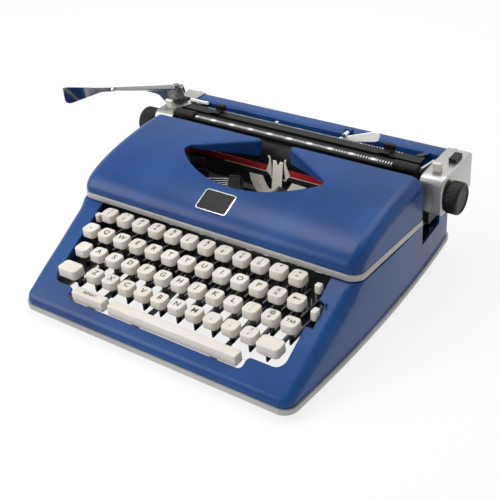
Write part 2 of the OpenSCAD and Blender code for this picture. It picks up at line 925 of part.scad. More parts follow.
// Turned-down flange along one slanting back edge of the opening
module opening_flange() {
    flange_t = 1.6;
    top = hood_top_z - 2.2;
    depth = 11;
    from = [opening_half_w - 1, 31];
    to = [opening_gap, hood_back_y - 3];
    dir = (to - from) / norm(to - from);
    side = [-dir[1], dir[0]] * -flange_t;
    translate([0, 0, top - depth])
        linear_extrude(depth)
            polygon([from + dir * 4, to, to + side, from + dir * 4 + side]);
}

// Lug under the hood with its hinge pin
module hood_lug() {
    x = frame_x + frame_t + slide_clear;
    top = hood_top_z - hood_wall / 2;
    across(x, hinge_ear_t) {
        translate([hinge_y, hinge_z]) circle(hinge_ear_r);
        translate([hinge_y - hinge_ear_r, hinge_z]) square([2 * hinge_ear_r - 2, top - hinge_z]);
    }
    rod_x(frame_x - 1, x + tiny, hinge_y, hinge_z, hinge_pin_r);
}

module hood() {
    color(paint) {
        difference() {
            thick_sheet(hood_grid(0), hood_grid(hood_wall));
            linear_extrude(big) type_opening();
        }
        left_and_right() {
            opening_flange();
            hood_lug();
        }
    }
}

// Outline of the hood's lower edge, grown by an amount
module hood_plan(grow) {
    r = hood_edge_r + grow;
    side_x = hood_half_w + grow;
    corner = [hood_half_w - hood_edge_r, hood_front_y + hood_edge_r];
    polygon(concat(
        [[-side_x, hood_back_y + tiny]],
        [for (k = [edge_steps:-1:0])
            let (a = 90 * k / edge_steps)
            [-corner[0] - r * sin(a), corner[1] - r * cos(a)]],
        [for (k = [0:edge_steps])
            let (a = 90 * k / edge_steps)
            [corner[0] + r * sin(a), corner[1] - r * cos(a)]],
        [[side_x, hood_back_y + tiny]]));
}

module hood_trim() {
    color(silver)
        intersection() {
            linear_extrude(big)
                difference() {
                    hood_plan(trim_proud);
                    hood_plan(-hood_wall);
                    translate([-hood_half_w + 20, 0]) square([2 * hood_half_w - 40, 2 * hood_depth]);
                }
            across(-big / 2, big)
                polygon([for (y = [hood_front_y - 9, hood_back_y + 9]) [y, trim_top(y) - trim_h],
                         for (y = [hood_back_y + 9, hood_front_y - 9]) [y, trim_top(y)]]);
        }
}

// Carriage

module carriage_rail() {
    middle = (rail_z[0] + rail_z[1]) / 2;
    color("silver")
        across(-frame_x, 2 * frame_x)
            polygon([[rail_y[0], rail_z[0]], [rail_y[1], rail_z[0]], [rail_y[1], middle - rail_groove],
                     [rail_y[1] - rail_groove, middle], [rail_y[1], middle + rail_groove],
                     [rail_y[1], rail_z[1]], [rail_y[0], rail_z[1]], [rail_y[0], middle + rail_groove],
                     [rail_y[0] + rail_groove, middle], [rail_y[0], middle - rail_groove]]);
}

// Side view of an end cover: round nose over the platen, flat top and back
module cover_outline(inset) {
    nose_r = cover_nose_r - inset;
    nose = [cover_front_y + cover_nose_r, cover_top_z - cover_nose_r];
    low = cover_low_z + inset;
    back = cover_back_y - inset;
    polygon(concat(
        [[nose[0] - nose_r, low]],
        [for (k = [0:nose_steps]) nose + nose_r * [-cos(90 * k / nose_steps), sin(90 * k / nose_steps)]],
        [[back, nose[1] + nose_r], [back, low]]));
}

module carriage_shoe(x) {
    c = slide_clear;
    low = rail_z[0] - c - shoe_lip;
    difference() {
        block([x - shoe_l / 2, rail_y[0] - c - shoe_lip, low],
              [x + shoe_l / 2, rail_y[1] + c + shoe_lip, bed_z[0] + tiny]);
        block([x - shoe_l, rail_y[0] - c, rail_z[0] - c], [x + shoe_l, rail_y[1] + c, rail_z[1] + c]);
        block([x - shoe_l, rail_y[0] + shoe_lip, low - 1], [x + shoe_l, rail_y[1] - shoe_lip, rail_z[0]]);
    }
}

module end_plate() {
    across(plate_x, end_plate_t)
        difference() {
            union() {
                cover_outline(0);
                translate([rail_y[0], bed_z[0]]) square([bed_y[1] - rail_y[0], cover_low_z - bed_z[0] + 1]);
            }
            translate([platen_y, platen_z]) circle(shaft_r + run_clear);
            translate(bail_pivot) circle(bail_pin_r + run_clear);
        }
}

module carriage_frame() {
    color("silver") {
        block([-plate_x, bed_y[0], bed_z[0]], [plate_x, bed_y[1], bed_z[1]]);
        carriage_shoe(-shoe_x);
        carriage_shoe(shoe_x);
        left_and_right() {
            end_plate();
            rod_x(cover_x - tiny, cover_x + 5, tab_pivot[0], tab_pivot[1], tab_pin_r);
        }
        block([return_pivot[0] - 8, return_pivot[1] - 8, cover_top_z],
              [-plate_x, return_pivot[1] + 8, return_z]);
        translate([return_pivot[0], return_pivot[1], return_z - tiny])
            cylinder(h = return_hub_h + 2, r = return_post_r);
    }
}

// Hollow cover over one end plate, open towards it
module end_cover() {
    difference() {
        across(cover_x, cover_w) cover_outline(0);
        across(cover_x - 1, cover_w - cover_wall + 1) cover_outline(cover_wall);
        rod_x(cover_out_x - cover_wall - 1, cover_out_x + 1, platen_y, platen_z, shaft_hole_r);
        block([tab_slot_x[0] - 1, tab_slot_y[0], platen_z + 4],
              [tab_slot_x[1], tab_slot_y[1], cover_top_z + 1]);
    }
}

module button_slot() {
    c = slide_clear;
    block([button_x - button_w / 2 - c, button_y - button_l / 2 - c, cover_top_z - cover_wall - 1],
          [button_x + button_w / 2 + c, button_y + button_l / 2 + c, cover_top_z + 1]);
}

module end_covers() {
    color(silver) {
        difference() {
            end_cover();
            button_slot();
        }
        mirror([1, 0, 0]) end_cover();
    }
}

// Cream tab lever beside an end plate
module tab_lever() {
    tip = [95, 108];
    w = 6;
    color(cream)
        across(cover_x + slide_clear, 4)
            difference() {
                union() {
                    translate(tab_pivot) circle(5);
                    translate(tip) circle(w / 2);
                    polygon([tab_pivot + [-4, -3], tab_pivot + [4, 3], tip + [2.3, 2], tip - [2.3, 2]]);
                }
                translate(tab_pivot) circle(tab_pin_r + run_clear);
            }
}

module paper_release_lever() {
    tab_lever();
}

module line_space_lever() {
    mirror([1, 0, 0]) tab_lever();
}

module carriage_release_button() {
    flange = 1.5;
    low = cover_top_z - cover_wall - flange - slide_clear;
    color(black) {
        block([button_x - button_w / 2, button_y - button_l / 2, low],
              [button_x + button_w / 2, button_y + button_l / 2, cover_top_z + 5]);
        block([button_x - button_w / 2 - 1.2, button_y - button_l / 2 - flange, low],
              [button_x + button_w / 2 + 1.2, button_y + button_l / 2 + flange, low + flange]);
    }
}

// Bent sheet behind the platen that the paper leans on
module paper_table() {
    n = len(table_profile);
    color(paint)
        difference() {
            union() {
                across(-carriage_half_w, 2 * carriage_half_w)
                    for (i = [0:n - 2]) {
                        thick_line(table_profile[i], table_profile[i + 1], table_t);
                    }
                block([support_x - 4, support_y + support_w / 2 + slide_clear, support_z - 7],
                      [support_x + 4, support_y + support_w / 2 + 4, support_z + 3]);
                translate([support_x, support_y - support_w / 2, support_z])
                    rotate([-90, 0, 0]) cylinder(h = support_w + 2, r = support_pin_r);
            }
            left_and_right()
                block([table_front_x, 0, 0], [carriage_half_w + 1, table_profile[2][0] + 4, big]);
        }
}

// Strip of one thickness below a line, with round ends
module thick_line(p, q, t) {
    dir = (q - p) / norm(q - p);
    side = [-dir[1], dir[0]] * (t / 2);
    polygon([p - side, q - side, q + side, p + side]);
    translate(p) circle(t / 2);
    translate(q) circle(t / 2);
}

// Bar behind the platen that the margin stops slide on, with two arms to the paper table
module margin_rail() {
    arm_x = margin_rail_half_l - 10;
    arm_w = 6;
    p = table_profile[1];
    q = table_profile[2];
    dir = (q - p) / norm(q - p);
    face = [-dir[1], dir[0]] * (table_t / 2);
    color(black) {
        block([-margin_rail_half_l, margin_rail_y[0], margin_rail_z[0]],
              [margin_rail_half_l, margin_rail_y[1], margin_rail_z[1]]);
        left_and_right()
            across(arm_x, arm_w)
                polygon([[margin_rail_y[1] - tiny, margin_rail_z[0]], p + dir * 9 + face,
                         p + dir * 14 + face, [margin_rail_y[1] - tiny, margin_rail_z[0] + 5]]);
    }
}

module margin_stop(x) {
    c = slide_clear;
    color(black)
        difference() {
            block([x - stop_w / 2, margin_rail_y[0] - 2.5, margin_rail_z[0]],
                  [x + stop_w / 2, margin_rail_y[1] + 2.5, margin_rail_z[1] + 5]);
            block([x - stop_w, margin_rail_y[0] - c, margin_rail_z[0] - 1],
                  [x + stop_w, margin_rail_y[1] + c, margin_rail_z[1] + c]);
        }
}

module margin_stop_left() {
    margin_stop(stop_x[0]);
}

module margin_stop_right() {
    margin_stop(stop_x[1]);
}

// Bar with the line scale, held over the platen by two arms
module paper_bail() {
    r = platen_r + bail_gap + bail_t / 2;
    bar = [platen_y + r * cos(bail_angle), platen_z + r * sin(bail_angle)];
    color(black)
        across(-bail_half_l, 2 * bail_half_l)
            translate(bar) rotate(bail_angle) square([bail_t, bail_w], center = true);
    color("silver")
        left_and_right() {
            across(bail_arm_x, bail_arm_t) thick_line(bar, bail_pivot, 6);
            rod_x(bail_half_l - tiny, bail_arm_x + tiny, bar[0], bar[1], 1.5);
            rod_x(bail_arm_x + bail_arm_t - tiny, plate_x + end_plate_t,
                  bail_pivot[0], bail_pivot[1], bail_pin_r);
        }
}

// Arm that swings up behind the paper
module paper_support() {
    color("white")
        translate([support_x, support_y, support_z])
            rotate([0, -support_rise, 0])
                difference() {
                    union() {
                        translate([0, support_w / 2, 0])
                            rotate([90, 0, 0]) cylinder(h = support_w, r = support_hub_r);
                        translate([0, 0, -support_t / 2])
                            linear_extrude(support_t) {
                                translate([0, -support_w / 2]) square([support_l, support_w]);
                                translate([support_l, 0]) circle(support_w / 2);
                            }
                    }
                    translate([0, support_w, 0])
                        rotate([90, 0, 0]) cylinder(h = 2 * support_w, r = support_pin_r + run_clear);
                }
}

module platen() {
    left_end = cover_out_x + knob_gap + knob_left_l - 3;
    right_end = cover_out_x + knob_gap + knob_right_l - 3;
    color(black)
        difference() {
            rod_x(-platen_half_l, platen_half_l, platen_y, platen_z, platen_r);
            rod_x(-platen_half_l - 1, platen_half_l + 1, platen_y, platen_z, shaft_r + run_clear);
        }
    color("silver") rod_x(-left_end, right_end, platen_y, platen_z, shaft_r);
}

// Knurled knob on one end of the shaft
module platen_knob(l) {
    ribs = 36;
    rib_r = 0.8;
    x = cover_out_x + knob_gap;
    difference() {
        union() {
            rod_x(x, x + l, platen_y, platen_z, knob_r - rib_r);
            for (k = [0:ribs - 1]) {
                a = 360 * k / ribs;
                rod_x(x + 1, x + l - 1, platen_y + (knob_r - rib_r) * cos(a),
                      platen_z + (knob_r - rib_r) * sin(a), rib_r);
            }
        }
        rod_x(x - 1, x + l - 3, platen_y, platen_z, shaft_r + run_clear);
    }
}

module platen_knobs() {
    color(black) {
        platen_knob(knob_right_l);
        mirror([1, 0, 0]) platen_knob(knob_left_l);
    }
}

// Blade that starts flat at the hub and twists upright towards its tip
module return_lever() {
    steps = 16;
    twist_from = 0.3;
    twist_to = 0.75;
    rise = 3;
    z = return_z + return_hub_h - return_blade_t;
    function blade_turn(s) = 90 * min(1, max(0, (s - twist_from) / (twist_to - twist_from)));
    blade = [for (i = [0:steps])
        let (s = i / steps, a = blade_turn(s), x = return_hub_r - 2 + (return_reach - return_hub_r + 2) * s,
             across_v = [0, cos(a), sin(a)], thick_v = [0, -sin(a), cos(a)],
             mid = [x, 0, z + rise * s])
        [for (k = [[-1, -1], [1, -1], [1, 1], [-1, 1]])
            mid + across_v * k[0] * return_blade_w / 2 + thick_v * k[1] * return_blade_t / 2]];
    color("silver")
        translate([return_pivot[0], return_pivot[1], 0]) {
            difference() {
                union() {
                    translate([0, 0, return_z + slide_clear])
                        cylinder(h = return_hub_h - slide_clear, r = return_hub_r);
                    rotate([0, 0, 180 + return_angle]) loft(blade);
                }
                translate([0, 0, return_z - 1])
                    cylinder(h = return_hub_h + 10, r = return_post_r + run_clear);
            }
        }
}

// Moves a finished piece from the casing's middle to the machine's middle
module place() {
    translate([-middle_x, 0, 0]) children();
}

// Solid through a row of closed sections with the same number of points
module loft(sections) {
    n = len(sections);
    m = len(sections[0]);
    polyhedron(
        points = flat(sections),
        faces = concat(
            [[for (j = [0:m - 1]) j]],
            [[for (j = [m - 1:-1:0]) (n - 1) * m + j]],
            [for (i = [0:n - 2], j = [0:m - 1])
                let (k = (j + 1) % m)
                    each [[i * m + j, (i + 1) * m + j, (i + 1) * m + k],
                          [i * m + j, (i + 1) * m + k, i * m + k]]]),
        convexity = 4);
}

place() rubber_feet();
place() base_rim();
place() body_shell();
place() chassis();
place() key_comb();
place() key_pivot_rod();
place() type_segment();
place() type_bars();
place() type_guide();
place() ribbon();
place() ribbon_spool_left();
place() ribbon_spool_right();
place() carriage_rail();
place() hood();
place() hood_trim();
place() carriage_frame();
place() end_covers();
place() paper_table();
place() margin_rail();
place() margin_stop_left();
place() margin_stop_right();
place() paper_bail();
place() paper_support();
place() platen();
place() platen_knobs();
place() return_lever();
place() ribbon_selector();
place() carriage_lock_tab();
place() margin_release_tab();
place() paper_release_lever();
place() line_space_lever();
place() carriage_release_button();
place() number_keys();
place() bottom_keys();
place() mark_keys();
place() shift_keys();
place() shift_lock();
place() backspace_key();
place() tab_key();
place() space_bar();
place() repeat_bar();
for (i = [0:len(top_letters) - 1]) {
    place() key(1, i + 1);
}
for (i = [0:len(home_letters) - 1]) {
    place() key(2, i + 1);
}
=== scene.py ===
import math

import bmesh
import bpy
import numpy as np
from mathutils import Matrix, Vector


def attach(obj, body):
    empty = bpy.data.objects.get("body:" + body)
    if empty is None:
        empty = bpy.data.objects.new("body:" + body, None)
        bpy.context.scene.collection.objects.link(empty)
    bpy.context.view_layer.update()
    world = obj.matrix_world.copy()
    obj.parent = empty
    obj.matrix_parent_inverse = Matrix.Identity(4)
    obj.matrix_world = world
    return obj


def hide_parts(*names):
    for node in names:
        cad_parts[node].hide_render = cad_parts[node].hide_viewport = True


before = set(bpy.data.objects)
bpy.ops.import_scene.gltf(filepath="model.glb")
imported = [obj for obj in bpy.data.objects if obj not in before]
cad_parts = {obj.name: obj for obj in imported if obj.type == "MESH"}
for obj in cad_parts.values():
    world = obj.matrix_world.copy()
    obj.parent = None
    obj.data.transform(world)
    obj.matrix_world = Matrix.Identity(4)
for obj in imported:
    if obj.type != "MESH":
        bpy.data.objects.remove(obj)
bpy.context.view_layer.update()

bl_info = {
    "name": "Portable typewriter",
    "version": (1, 0, 0),
    "blender": (4, 5, 0),
    "location": "View3D > Sidebar > Typewriter",
    "description": "Dresses the packed typewriter: casing, hood, keys, carriage and finishes",
    "category": "Object",
}

# Lengths in this file are millimetres, X to the typist's right, Y to the back, Z up, from the middle of the
# casing on the table. A mesh gets metres from the frame's origin, which is the middle of the whole machine.
MM = 0.001
MIDDLE_X = -39.476
FLOOR_HALF = 6000.0

# Base and casing
HALF_DEPTH = 148.0
HALF_WIDTH = 155.0
BOW_R = 1440.0
CORNER_R = 13.0
CORNER_X = 135.6
CORNER_Y = 135.0
CORNER_TURN = math.asin(CORNER_Y / (BOW_R - CORNER_R))
RIM_LOW = 7.0
CASE_LOW = 12.0
CASE_FOOT = CASE_LOW + 0.6
CASE_INSET = 1.6
CASE_WALL = 2.4
CASE_GAP = 1.0
SPLIT_Y = -30.0
WELL_X = 127.0
DECK_END_Y = -48.0
DECK_RISE = 0.5206
DECK_END_Z = 69.65
LIP_R = 8.2
DECK_EDGE_R = 11.0
REAR_EDGE_R = 1.2
BACK_TOP = 66.0
CUT_Y = (73.0, 115.0)
CUT_Z = 40.0
STEP_GAP = 0.01

# Hood
HOOD_HALF_W = 152.0
HOOD_BACK_Y = 70.0
HOOD_DEPTH = 116.0
HOOD_FRONT_Y = HOOD_BACK_Y - HOOD_DEPTH
HOOD_SPRING_Z = 80.0
HOOD_RISE = 31.0
HOOD_EDGE_R = 12.0
HOOD_WALL = 2.5
HOOD_HINGE = (66.0, 100.0)
TRIM_FRONT_Z = 79.0
TRIM_FALL = 0.0752
TRIM_H = 6.8
TRIM_GROOVE = 0.7
TRIM_PROUD = 0.8
OPENING_HALF_W = 77.0
OPENING_FRONT_Y = -8.5
OPENING_TIP_Y = 24.0
OPENING_GAP = 17.0
FLANGE_R = 2.4
FLANGE_T = 1.4
BADGE_X = -1.8
BADGE_Y = -28.2

# Keyboard; the four rows run from the back to the front
ROW_X = (-107.25, -116.75, -112.0, -83.5)
ROW_Y = (-56.7, -74.5, -92.3, -110.1)
ROW_Z = (72.1, 62.6, 53.1, 43.6)
PITCH = 19.0
CAP_W = 14.6
CAP_R = 4.2
CAP_H = 8.0
CAP_EDGE = 0.8
CAP_FLARE = 0.3
PRINT_H = 0.06
SIGN_SIZE = 7.8
WORD_SIZE = 4.8
PAIR_SIZE = 5.4
PAIR_Y = (2.9, -2.6)
SHIFT_Y = -113.1
SHIFT_SIZE = (22.4, 15.4, CAP_H + 1)
SELECTOR_Y = -77.0
PIVOT = (70.0, 30.0)
HUB_R = (2.6, 5.0)
LEVER_Z = (45.2, 38.8, 32.4, 26.0)
LEVER_T = 1.5
LEVER_H = 4.8
LEVER_W = 5.2
BAR_Y = -128.5
BAR_Z = 24.0
REPEAT_X = -75.25

# Type basket and ribbon
FAN_Y = 44.0
FAN_Z = 84.0
FAN_TILT = math.radians(28)
FAN_FROM = 195.0
FAN_STEP = 150.0 / 43
TYPE_BARS = 44
RIBBON_Y = 70.0
RIBBON_Z = 77.75
RIBBON_HALF_H = 5.75
RIBBON_HALF_T = 0.3
RIBBON_SPLIT_Z = 77.0

# Carriage
PLATEN = (94.0, 85.0)
COVER_IN = 141.62
COVER_OUT = 165.0
COVER_EDGE = 2.2
KNOB_X = 166.0
KNURLS = 44
LEVER_HUB = (-157.0, 115.0)
SUPPORT_PIN = (46.0, 121.0, 107.0)
BAIL_BAR = (90.0, 105.05)
TICKS = 39
TICK_PITCH = 2.85


def deck_z(y):
    """Height of the keyboard deck's plane at a depth y."""
    return DECK_END_Z + DECK_RISE * (y - DECK_END_Y)


def trim_top(y):
    """Height of the line on which the hood meets its trim strip; it falls a little to the back."""
    return TRIM_FRONT_Z - TRIM_FALL * (y - HOOD_FRONT_Y)


def casing_top(y):
    """Height of the casing at a depth y: the deck's plane, then level with a small gap below the trim strip."""
    return np.minimum(deck_z(y), trim_top(y) - TRIM_H - CASE_GAP)


def linear(code):
    """Turns an sRGB hex colour such as 24509A into Blender's linear colour with alpha 1."""
    part = [int(code[i:i + 2], 16) / 255 for i in (0, 2, 4)]
    return tuple(c / 12.92 if c <= 0.04045 else ((c + 0.055) / 1.055) ** 2.4 for c in part) + (1.0,)


# Lines

def xyz(x, y, z):
    """Points from three coordinates, each of them a number or an array that stretches to fit the others."""
    return np.stack(np.broadcast_arrays(x, y, z), -1)


def ease(t):
    """Smooth step from 0 to 1 while t goes from 0 to 1, level at both ends."""
    t = np.clip(t, 0, 1)
    return t * t * (3 - 2 * t)


def round_rect(half_x, half_y, r, n=8):
    """Outline of a rectangle with round corners: four quarter circles of n points, counter-clockwise."""
    a = np.arange(4)[:, None] * np.pi / 2 + np.linspace(0, np.pi / 2, n)
    cx = np.array([1, -1, -1, 1])[:, None] * (half_x - r)
    cy = np.array([1, 1, -1, -1])[:, None] * (half_y - r)
    return np.stack([cx + r * np.cos(a), cy + r * np.sin(a)], -1).reshape(-1, 2)


def arc_run(cx, cy, r, a):
    """Points of an arc at the angles a, with the normals that point away from its centre."""
    out = np.stack([np.cos(a), np.sin(a)], 1)
    return np.array([cx, cy]) + r * out, out


def bend(cx, cy, r, a0, a1, n=8):
    """Points of an arc, angles in degrees."""
    return arc_run(cx, cy, r, np.radians(np.linspace(a0, a1, n)))[0]


def along(points, n):
    """n points spread evenly along a line, which is given as single points and runs of points."""
    points = np.vstack(points)
    s = np.append(0, np.cumsum(np.linalg.norm(np.diff(points, axis=0), axis=1)))
    return np.stack([np.interp(np.linspace(0, s[-1], n), s, column) for column in points.T], 1)


def left_of(points):
    """Unit normals to the left of a line of points."""
    d = np.gradient(points, axis=0)
    d /= np.linalg.norm(d, axis=1, keepdims=True)
    return np.stack([-d[:, 1], d[:, 0]], 1)


def mirrored(half):
    """Plan points, and then their mirror images in reverse order."""
    return np.concatenate([half, half[::-1] * [-1, 1]])


def line_distance(points, outline):
    """Distance of plan points from a closed outline, counted negative inside it: the shortest distance to
    any of its edges, with the sign from how often a line to the right crosses the outline."""
    best = np.full(len(points), 1e9)
    inside = np.zeros(len(points), bool)
    for a, b in zip(outline, np.roll(outline, -1, 0)):
        ab = b - a
        t = np.clip(((points - a) @ ab) / max(ab @ ab, 1e-12), 0, 1)
        best = np.minimum(best, np.linalg.norm(points - a - t[:, None] * ab, axis=1))
        over = (a[1] > points[:, 1]) != (b[1] > points[:, 1])
        if a[1] != b[1]:
            inside ^= over & (points[:, 0] < a[0] + (points[:, 1] - a[1]) * ab[0] / ab[1])
    return np.where(inside, -best, best)


# Surfaces

def grid(points, wrap=False):
    """Triangles over a grid of points (rows, columns, 3): every cell of four neighbours gives two.
    With wrap the last column joins the first."""
    rows, columns = points.shape[:2]
    index = np.arange(rows * columns).reshape(rows, columns)
    if wrap:
        index = np.concatenate([index, index[:, :1]], 1)
    a, b, c, d = index[:-1, :-1], index[1:, :-1], index[1:, 1:], index[:-1, 1:]
    return points.reshape(-1, 3), np.stack([a, b, c, a, c, d], -1).reshape(-1, 3)


def closed(rings):
    """Skin over a row of rings (rows, columns, 3), both ends closed to their middles."""
    ends = rings[[0, -1]].mean(1, keepdims=True).repeat(rings.shape[1], 1)
    return grid(np.concatenate([ends[:1], rings, ends[1:]]), wrap=True)


def sheet(middle, thick):
    """Sheet on a grid of points (rows, columns, 3): its faces lie half of the vector thick to either side of the
    grid, and its four edges are closed."""
    half = np.asarray(thick, float) / 2
    ring = np.concatenate([middle + half, (middle - half)[:, ::-1]], 1)
    ends = np.concatenate([middle, middle[:, ::-1]], 1)[[0, -1]]
    return grid(np.concatenate([ends[:1], ring, ends[1:]]), wrap=True)


def weld(verts, tris):
    """Points of one surface that fall together within a thousandth of a millimetre become one,
    which closes seams and poles; triangles left without area go."""
    steps = np.round(verts * 1000).astype(np.int64)
    _, first, to = np.unique(steps, axis=0, return_index=True, return_inverse=True)
    tris = to.reshape(-1)[tris]
    a, b, c = tris.T
    return verts[first], tris[(a != b) & (b != c) & (c != a)]


def join(parts):
    """Puts several surfaces (points, triangles) into one list of points and triangles."""
    starts = np.cumsum([0] + [len(v) for v, _ in parts[:-1]])
    return (np.concatenate([v for v, _ in parts]),
            np.concatenate([t + s for (_, t), s in zip(parts, starts)]))


def cut(verts, tris, d):
    """Keeps the side of a surface where d is positive: a triangle that crosses the line is cut where d,
    taken as straight along its edges, falls to zero."""
    above = d[tris] > 0
    count = above.sum(1)
    parts = [(verts, tris[count == 3])]
    for wanted in (1, 2):
        t = tris[count == wanted]
        lone = above[count == wanted] if wanted == 1 else ~above[count == wanted]
        t = np.take_along_axis(t, (lone.argmax(1)[:, None] + np.arange(3)) % 3, 1)
        (a, b, c), (da, db, dc) = verts[t.T], d[t.T][..., None]
        ab, ac = a + (b - a) * da / (da - db), a + (c - a) * da / (da - dc)
        if wanted == 1:
            new = np.stack([a, ab, ac], 1)
        else:
            new = np.concatenate([np.stack([ab, b, c], 1), np.stack([ab, c, ac], 1)])
        parts.append((new.reshape(-1, 3), np.arange(len(new) * 3).reshape(-1, 3)))
    return weld(*join(parts))


def moulding(size, at, r, edge, flare, dish, n=6):
    """Moulded block that stands on the point at: rings of a round-cornered rectangle run from the middle of the
    underside out to its edge, up the slightly tapering side, over a round upper edge, and in across the top,
    which sinks by dish times one minus the square of the distance from its middle."""
    w, d, h = size
    arc = np.linspace(0, np.pi / 2, 6)
    inset = np.append([0.3, 0.0, flare * 0.6], flare + edge * (1 - np.cos(arc)))
    level = np.append([0.0, 0.4, h * 0.55], h - edge + edge * np.sin(arc))
    rings = [xyz(*round_rect(w / 2 - i, d / 2 - i, max(r - i, 0.5), n).T, z) for i, z in zip(inset, level)]
    x, y, _ = rings[-1].T
    rings += [xyz(x * s, y * s, h - dish * (1 - s * s)) for s in (0.9, 0.75, 0.5, 0.25, 0.0)]
    verts, tris = closed(np.array(rings))
    return verts + at, tris


def plate(outline, x0, x1):
    """Flat plate: a convex outline in Y and Z carried along X from x0 to x1 and closed to its middle."""
    return closed(xyz(np.array([[x0], [x1]]), *np.array(outline, float).T))


def box(lo, hi):
    """Plain block between two corners."""
    return plate([(lo[1], lo[2]), (hi[1], lo[2]), (hi[1], hi[2]), (lo[1], hi[2])], lo[0], hi[0])


def rounded_box(lo, hi, r):
    """Block between two corners whose edges along X and around its ends are rounded by r: rings of a
    round-cornered rectangle in Y and Z grow out of one end, run along X and shrink into the other end."""
    middle, half = np.add(lo, hi) / 2, np.abs(np.subtract(hi, lo)) / 2
    arc = np.linspace(0, np.pi / 2, 5)
    x, inset = r * (1 - np.cos(arc)) - half[0], r * (1 - np.sin(arc))
    rings = [xyz(at, *round_rect(half[1] - i, half[2] - i, max(r - i, 0.02), 5).T)
             for at, i in zip(np.append(x, -x[::-1]), np.append(inset, inset[::-1]))]
    return closed(np.array(rings) + middle)


def tube(start, end, inner, outer):
    """Profile of a tube for turned. An inner radius of 0 makes it a solid pin."""
    return [(start, inner), (start, outer), (end, outer), (end, inner), (start, inner)]


def turned(profile, at, n, axis="X", groove=0.0):
    """Turned piece: a profile of length and radius goes round an axis along X, Y or Z through the point at.
    groove is the depth of the knurling, a raised cosine squared, weighted by the profile's third column."""
    profile = np.asarray(profile, float)
    a = np.linspace(0, 2 * np.pi, n, endpoint=False)
    radius = profile[:, 1:2]
    if groove:
        radius = radius - profile[:, 2:] * groove * (0.5 + 0.5 * np.cos(KNURLS * a)) ** 2
    verts, tris = grid(xyz(profile[:, :1], radius * np.cos(a), radius * np.sin(a)), wrap=True)
    return verts[:, {"X": [0, 1, 2], "Y": [1, 0, 2], "Z": [1, 2, 0]}[axis]] + at, tris


def carried(path, normal, profile, ring=False):
    """Profile carried along a path: each profile point stands a distance out along the path's level normal
    and a height up. The path is a ring, or its two ends are closed to the middle of the profile."""
    out, up = profile.T
    p = xyz(path[:, :1] + normal[:, :1] * out, path[:, 1:2] + normal[:, 1:] * out, path[:, 2:] + up)
    return grid(np.concatenate([p, p[:1]]), wrap=True) if ring else closed(p)


def add(name, data):
    """New object in the scene."""
    obj = bpy.data.objects.new(name, data)
    bpy.context.scene.collection.objects.link(obj)
    return obj


def applied(obj):
    """Mesh of an object as its modifiers or its curve make it."""
    return bpy.data.meshes.new_from_object(obj.evaluated_get(bpy.context.evaluated_depsgraph_get()))


def letters(text, size, x, y, z):
    """Letters of the built-in font as a thin mesh, centred on (x, y) and lying flat on height z."""
    curve = bpy.data.curves.new("letters", "FONT")
    curve.body = text
    curve.size = size
    curve.align_x = "CENTER"
    curve.align_y = "CENTER"
    curve.extrude = PRINT_H
    curve.offset = size * 0.014
    curve.resolution_u = 3
    holder = add("letters", curve)
    mesh = applied(holder)
    mesh.calc_loop_triangles()
    verts = np.zeros(len(mesh.vertices) * 3)
    mesh.vertices.foreach_get("co", verts)
    tris = np.zeros(len(mesh.loop_triangles) * 3, np.int32)
    mesh.loop_triangles.foreach_get("vertices", tris)
    bpy.data.objects.remove(holder)
    bpy.data.curves.remove(curve)
    bpy.data.meshes.remove(mesh)
    return verts.reshape(-1, 3) + [x, y, z], tris.reshape(-1, 3)


# Slot of every finish, unless the piece names another; piece works the slot out but gives it to nothing
SLOTS = {
    "blue": "blue_paint", "trim": "light_trim", "silver": "silver_plastic", "cream": "cream_plastic",
    "white": "white_plastic", "print": "white_plastic", "black": "black_plastic", "ink": "black_plastic",
    "dark_steel": "black_steel", "lever": "bright_steel", "nickel": "bright_steel", "steel": "bright_steel",
    "polished": "bright_steel", "chrome": "chrome", "rubber": "platen_rubber", "ribbon": "ribbon_cloth",
}
FINISHES = {}


def piece(name, parts, finish, body, replaces=(), sharp=30.0, wall=0.0, slot=None):
    """Makes one object of the surfaces, smooth up to the angle sharp, and puts it on its body. With wall an open
    skin becomes a shell of that thickness to its inside."""
    verts, tris = join([weld(*p) for p in parts])
    mesh = bpy.data.meshes.new(name)
    mesh.from_pydata(((verts - [MIDDLE_X, 0, 0]) * MM).tolist(), [], tris.tolist())
    obj = add(name, mesh)
    if wall:
        shell = obj.modifiers.new("Wall", "SOLIDIFY")
        shell.thickness = wall * MM
        shell.offset = -1.0
        thick = applied(obj)
        obj.modifiers.clear()
        obj.data = thick
        bpy.data.meshes.remove(mesh)
        mesh = thick
        mesh.name = name
    else:
        work = bmesh.new()
        work.from_mesh(mesh)
        bmesh.ops.recalc_face_normals(work, faces=work.faces)
        work.to_mesh(mesh)
        work.free()
    mesh.polygons.foreach_set("use_smooth", np.ones(len(mesh.polygons), bool))
    mesh.set_sharp_from_angle(angle=math.radians(sharp))
    mesh.update()
    mesh.materials.append(FINISHES[finish])
    slot = slot or SLOTS[finish]
    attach(obj, body)
    if replaces:
        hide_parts(*replaces)


# Materials

def feed(tree, made, inputs):
    """Sets or links inputs of a shader node."""
    for key, value in inputs.items():
        if isinstance(value, bpy.types.NodeSocket):
            tree.links.new(value, made.inputs[key])
        else:
            made.inputs[key].default_value = value


def node(tree, kind, inputs=None, **settings):
    """Adds one shader node, with its settings and inputs."""
    made = tree.nodes.new("ShaderNode" + kind)
    for key, value in settings.items():
        setattr(made, key, value)
    feed(tree, made, inputs or {})
    return made


def maths(tree, operation, a, b):
    """Adds one node that reckons with two values, and gives its result."""
    return node(tree, "Math", {0: a, 1: b}, operation=operation).outputs[0]


def ramp_to(tree, value, start, end, low, high):
    """Adds one node that leads a value from start to end over to low to high, and gives its result."""
    return node(tree, "MapRange", {"Value": value, "From Min": start, "From Max": end,
                                   "To Min": low, "To Max": high}).outputs[0]


def emptied(owner):
    """Node tree of a material or a world, without nodes."""
    owner.use_nodes = True
    owner.node_tree.nodes.clear()
    return owner.node_tree


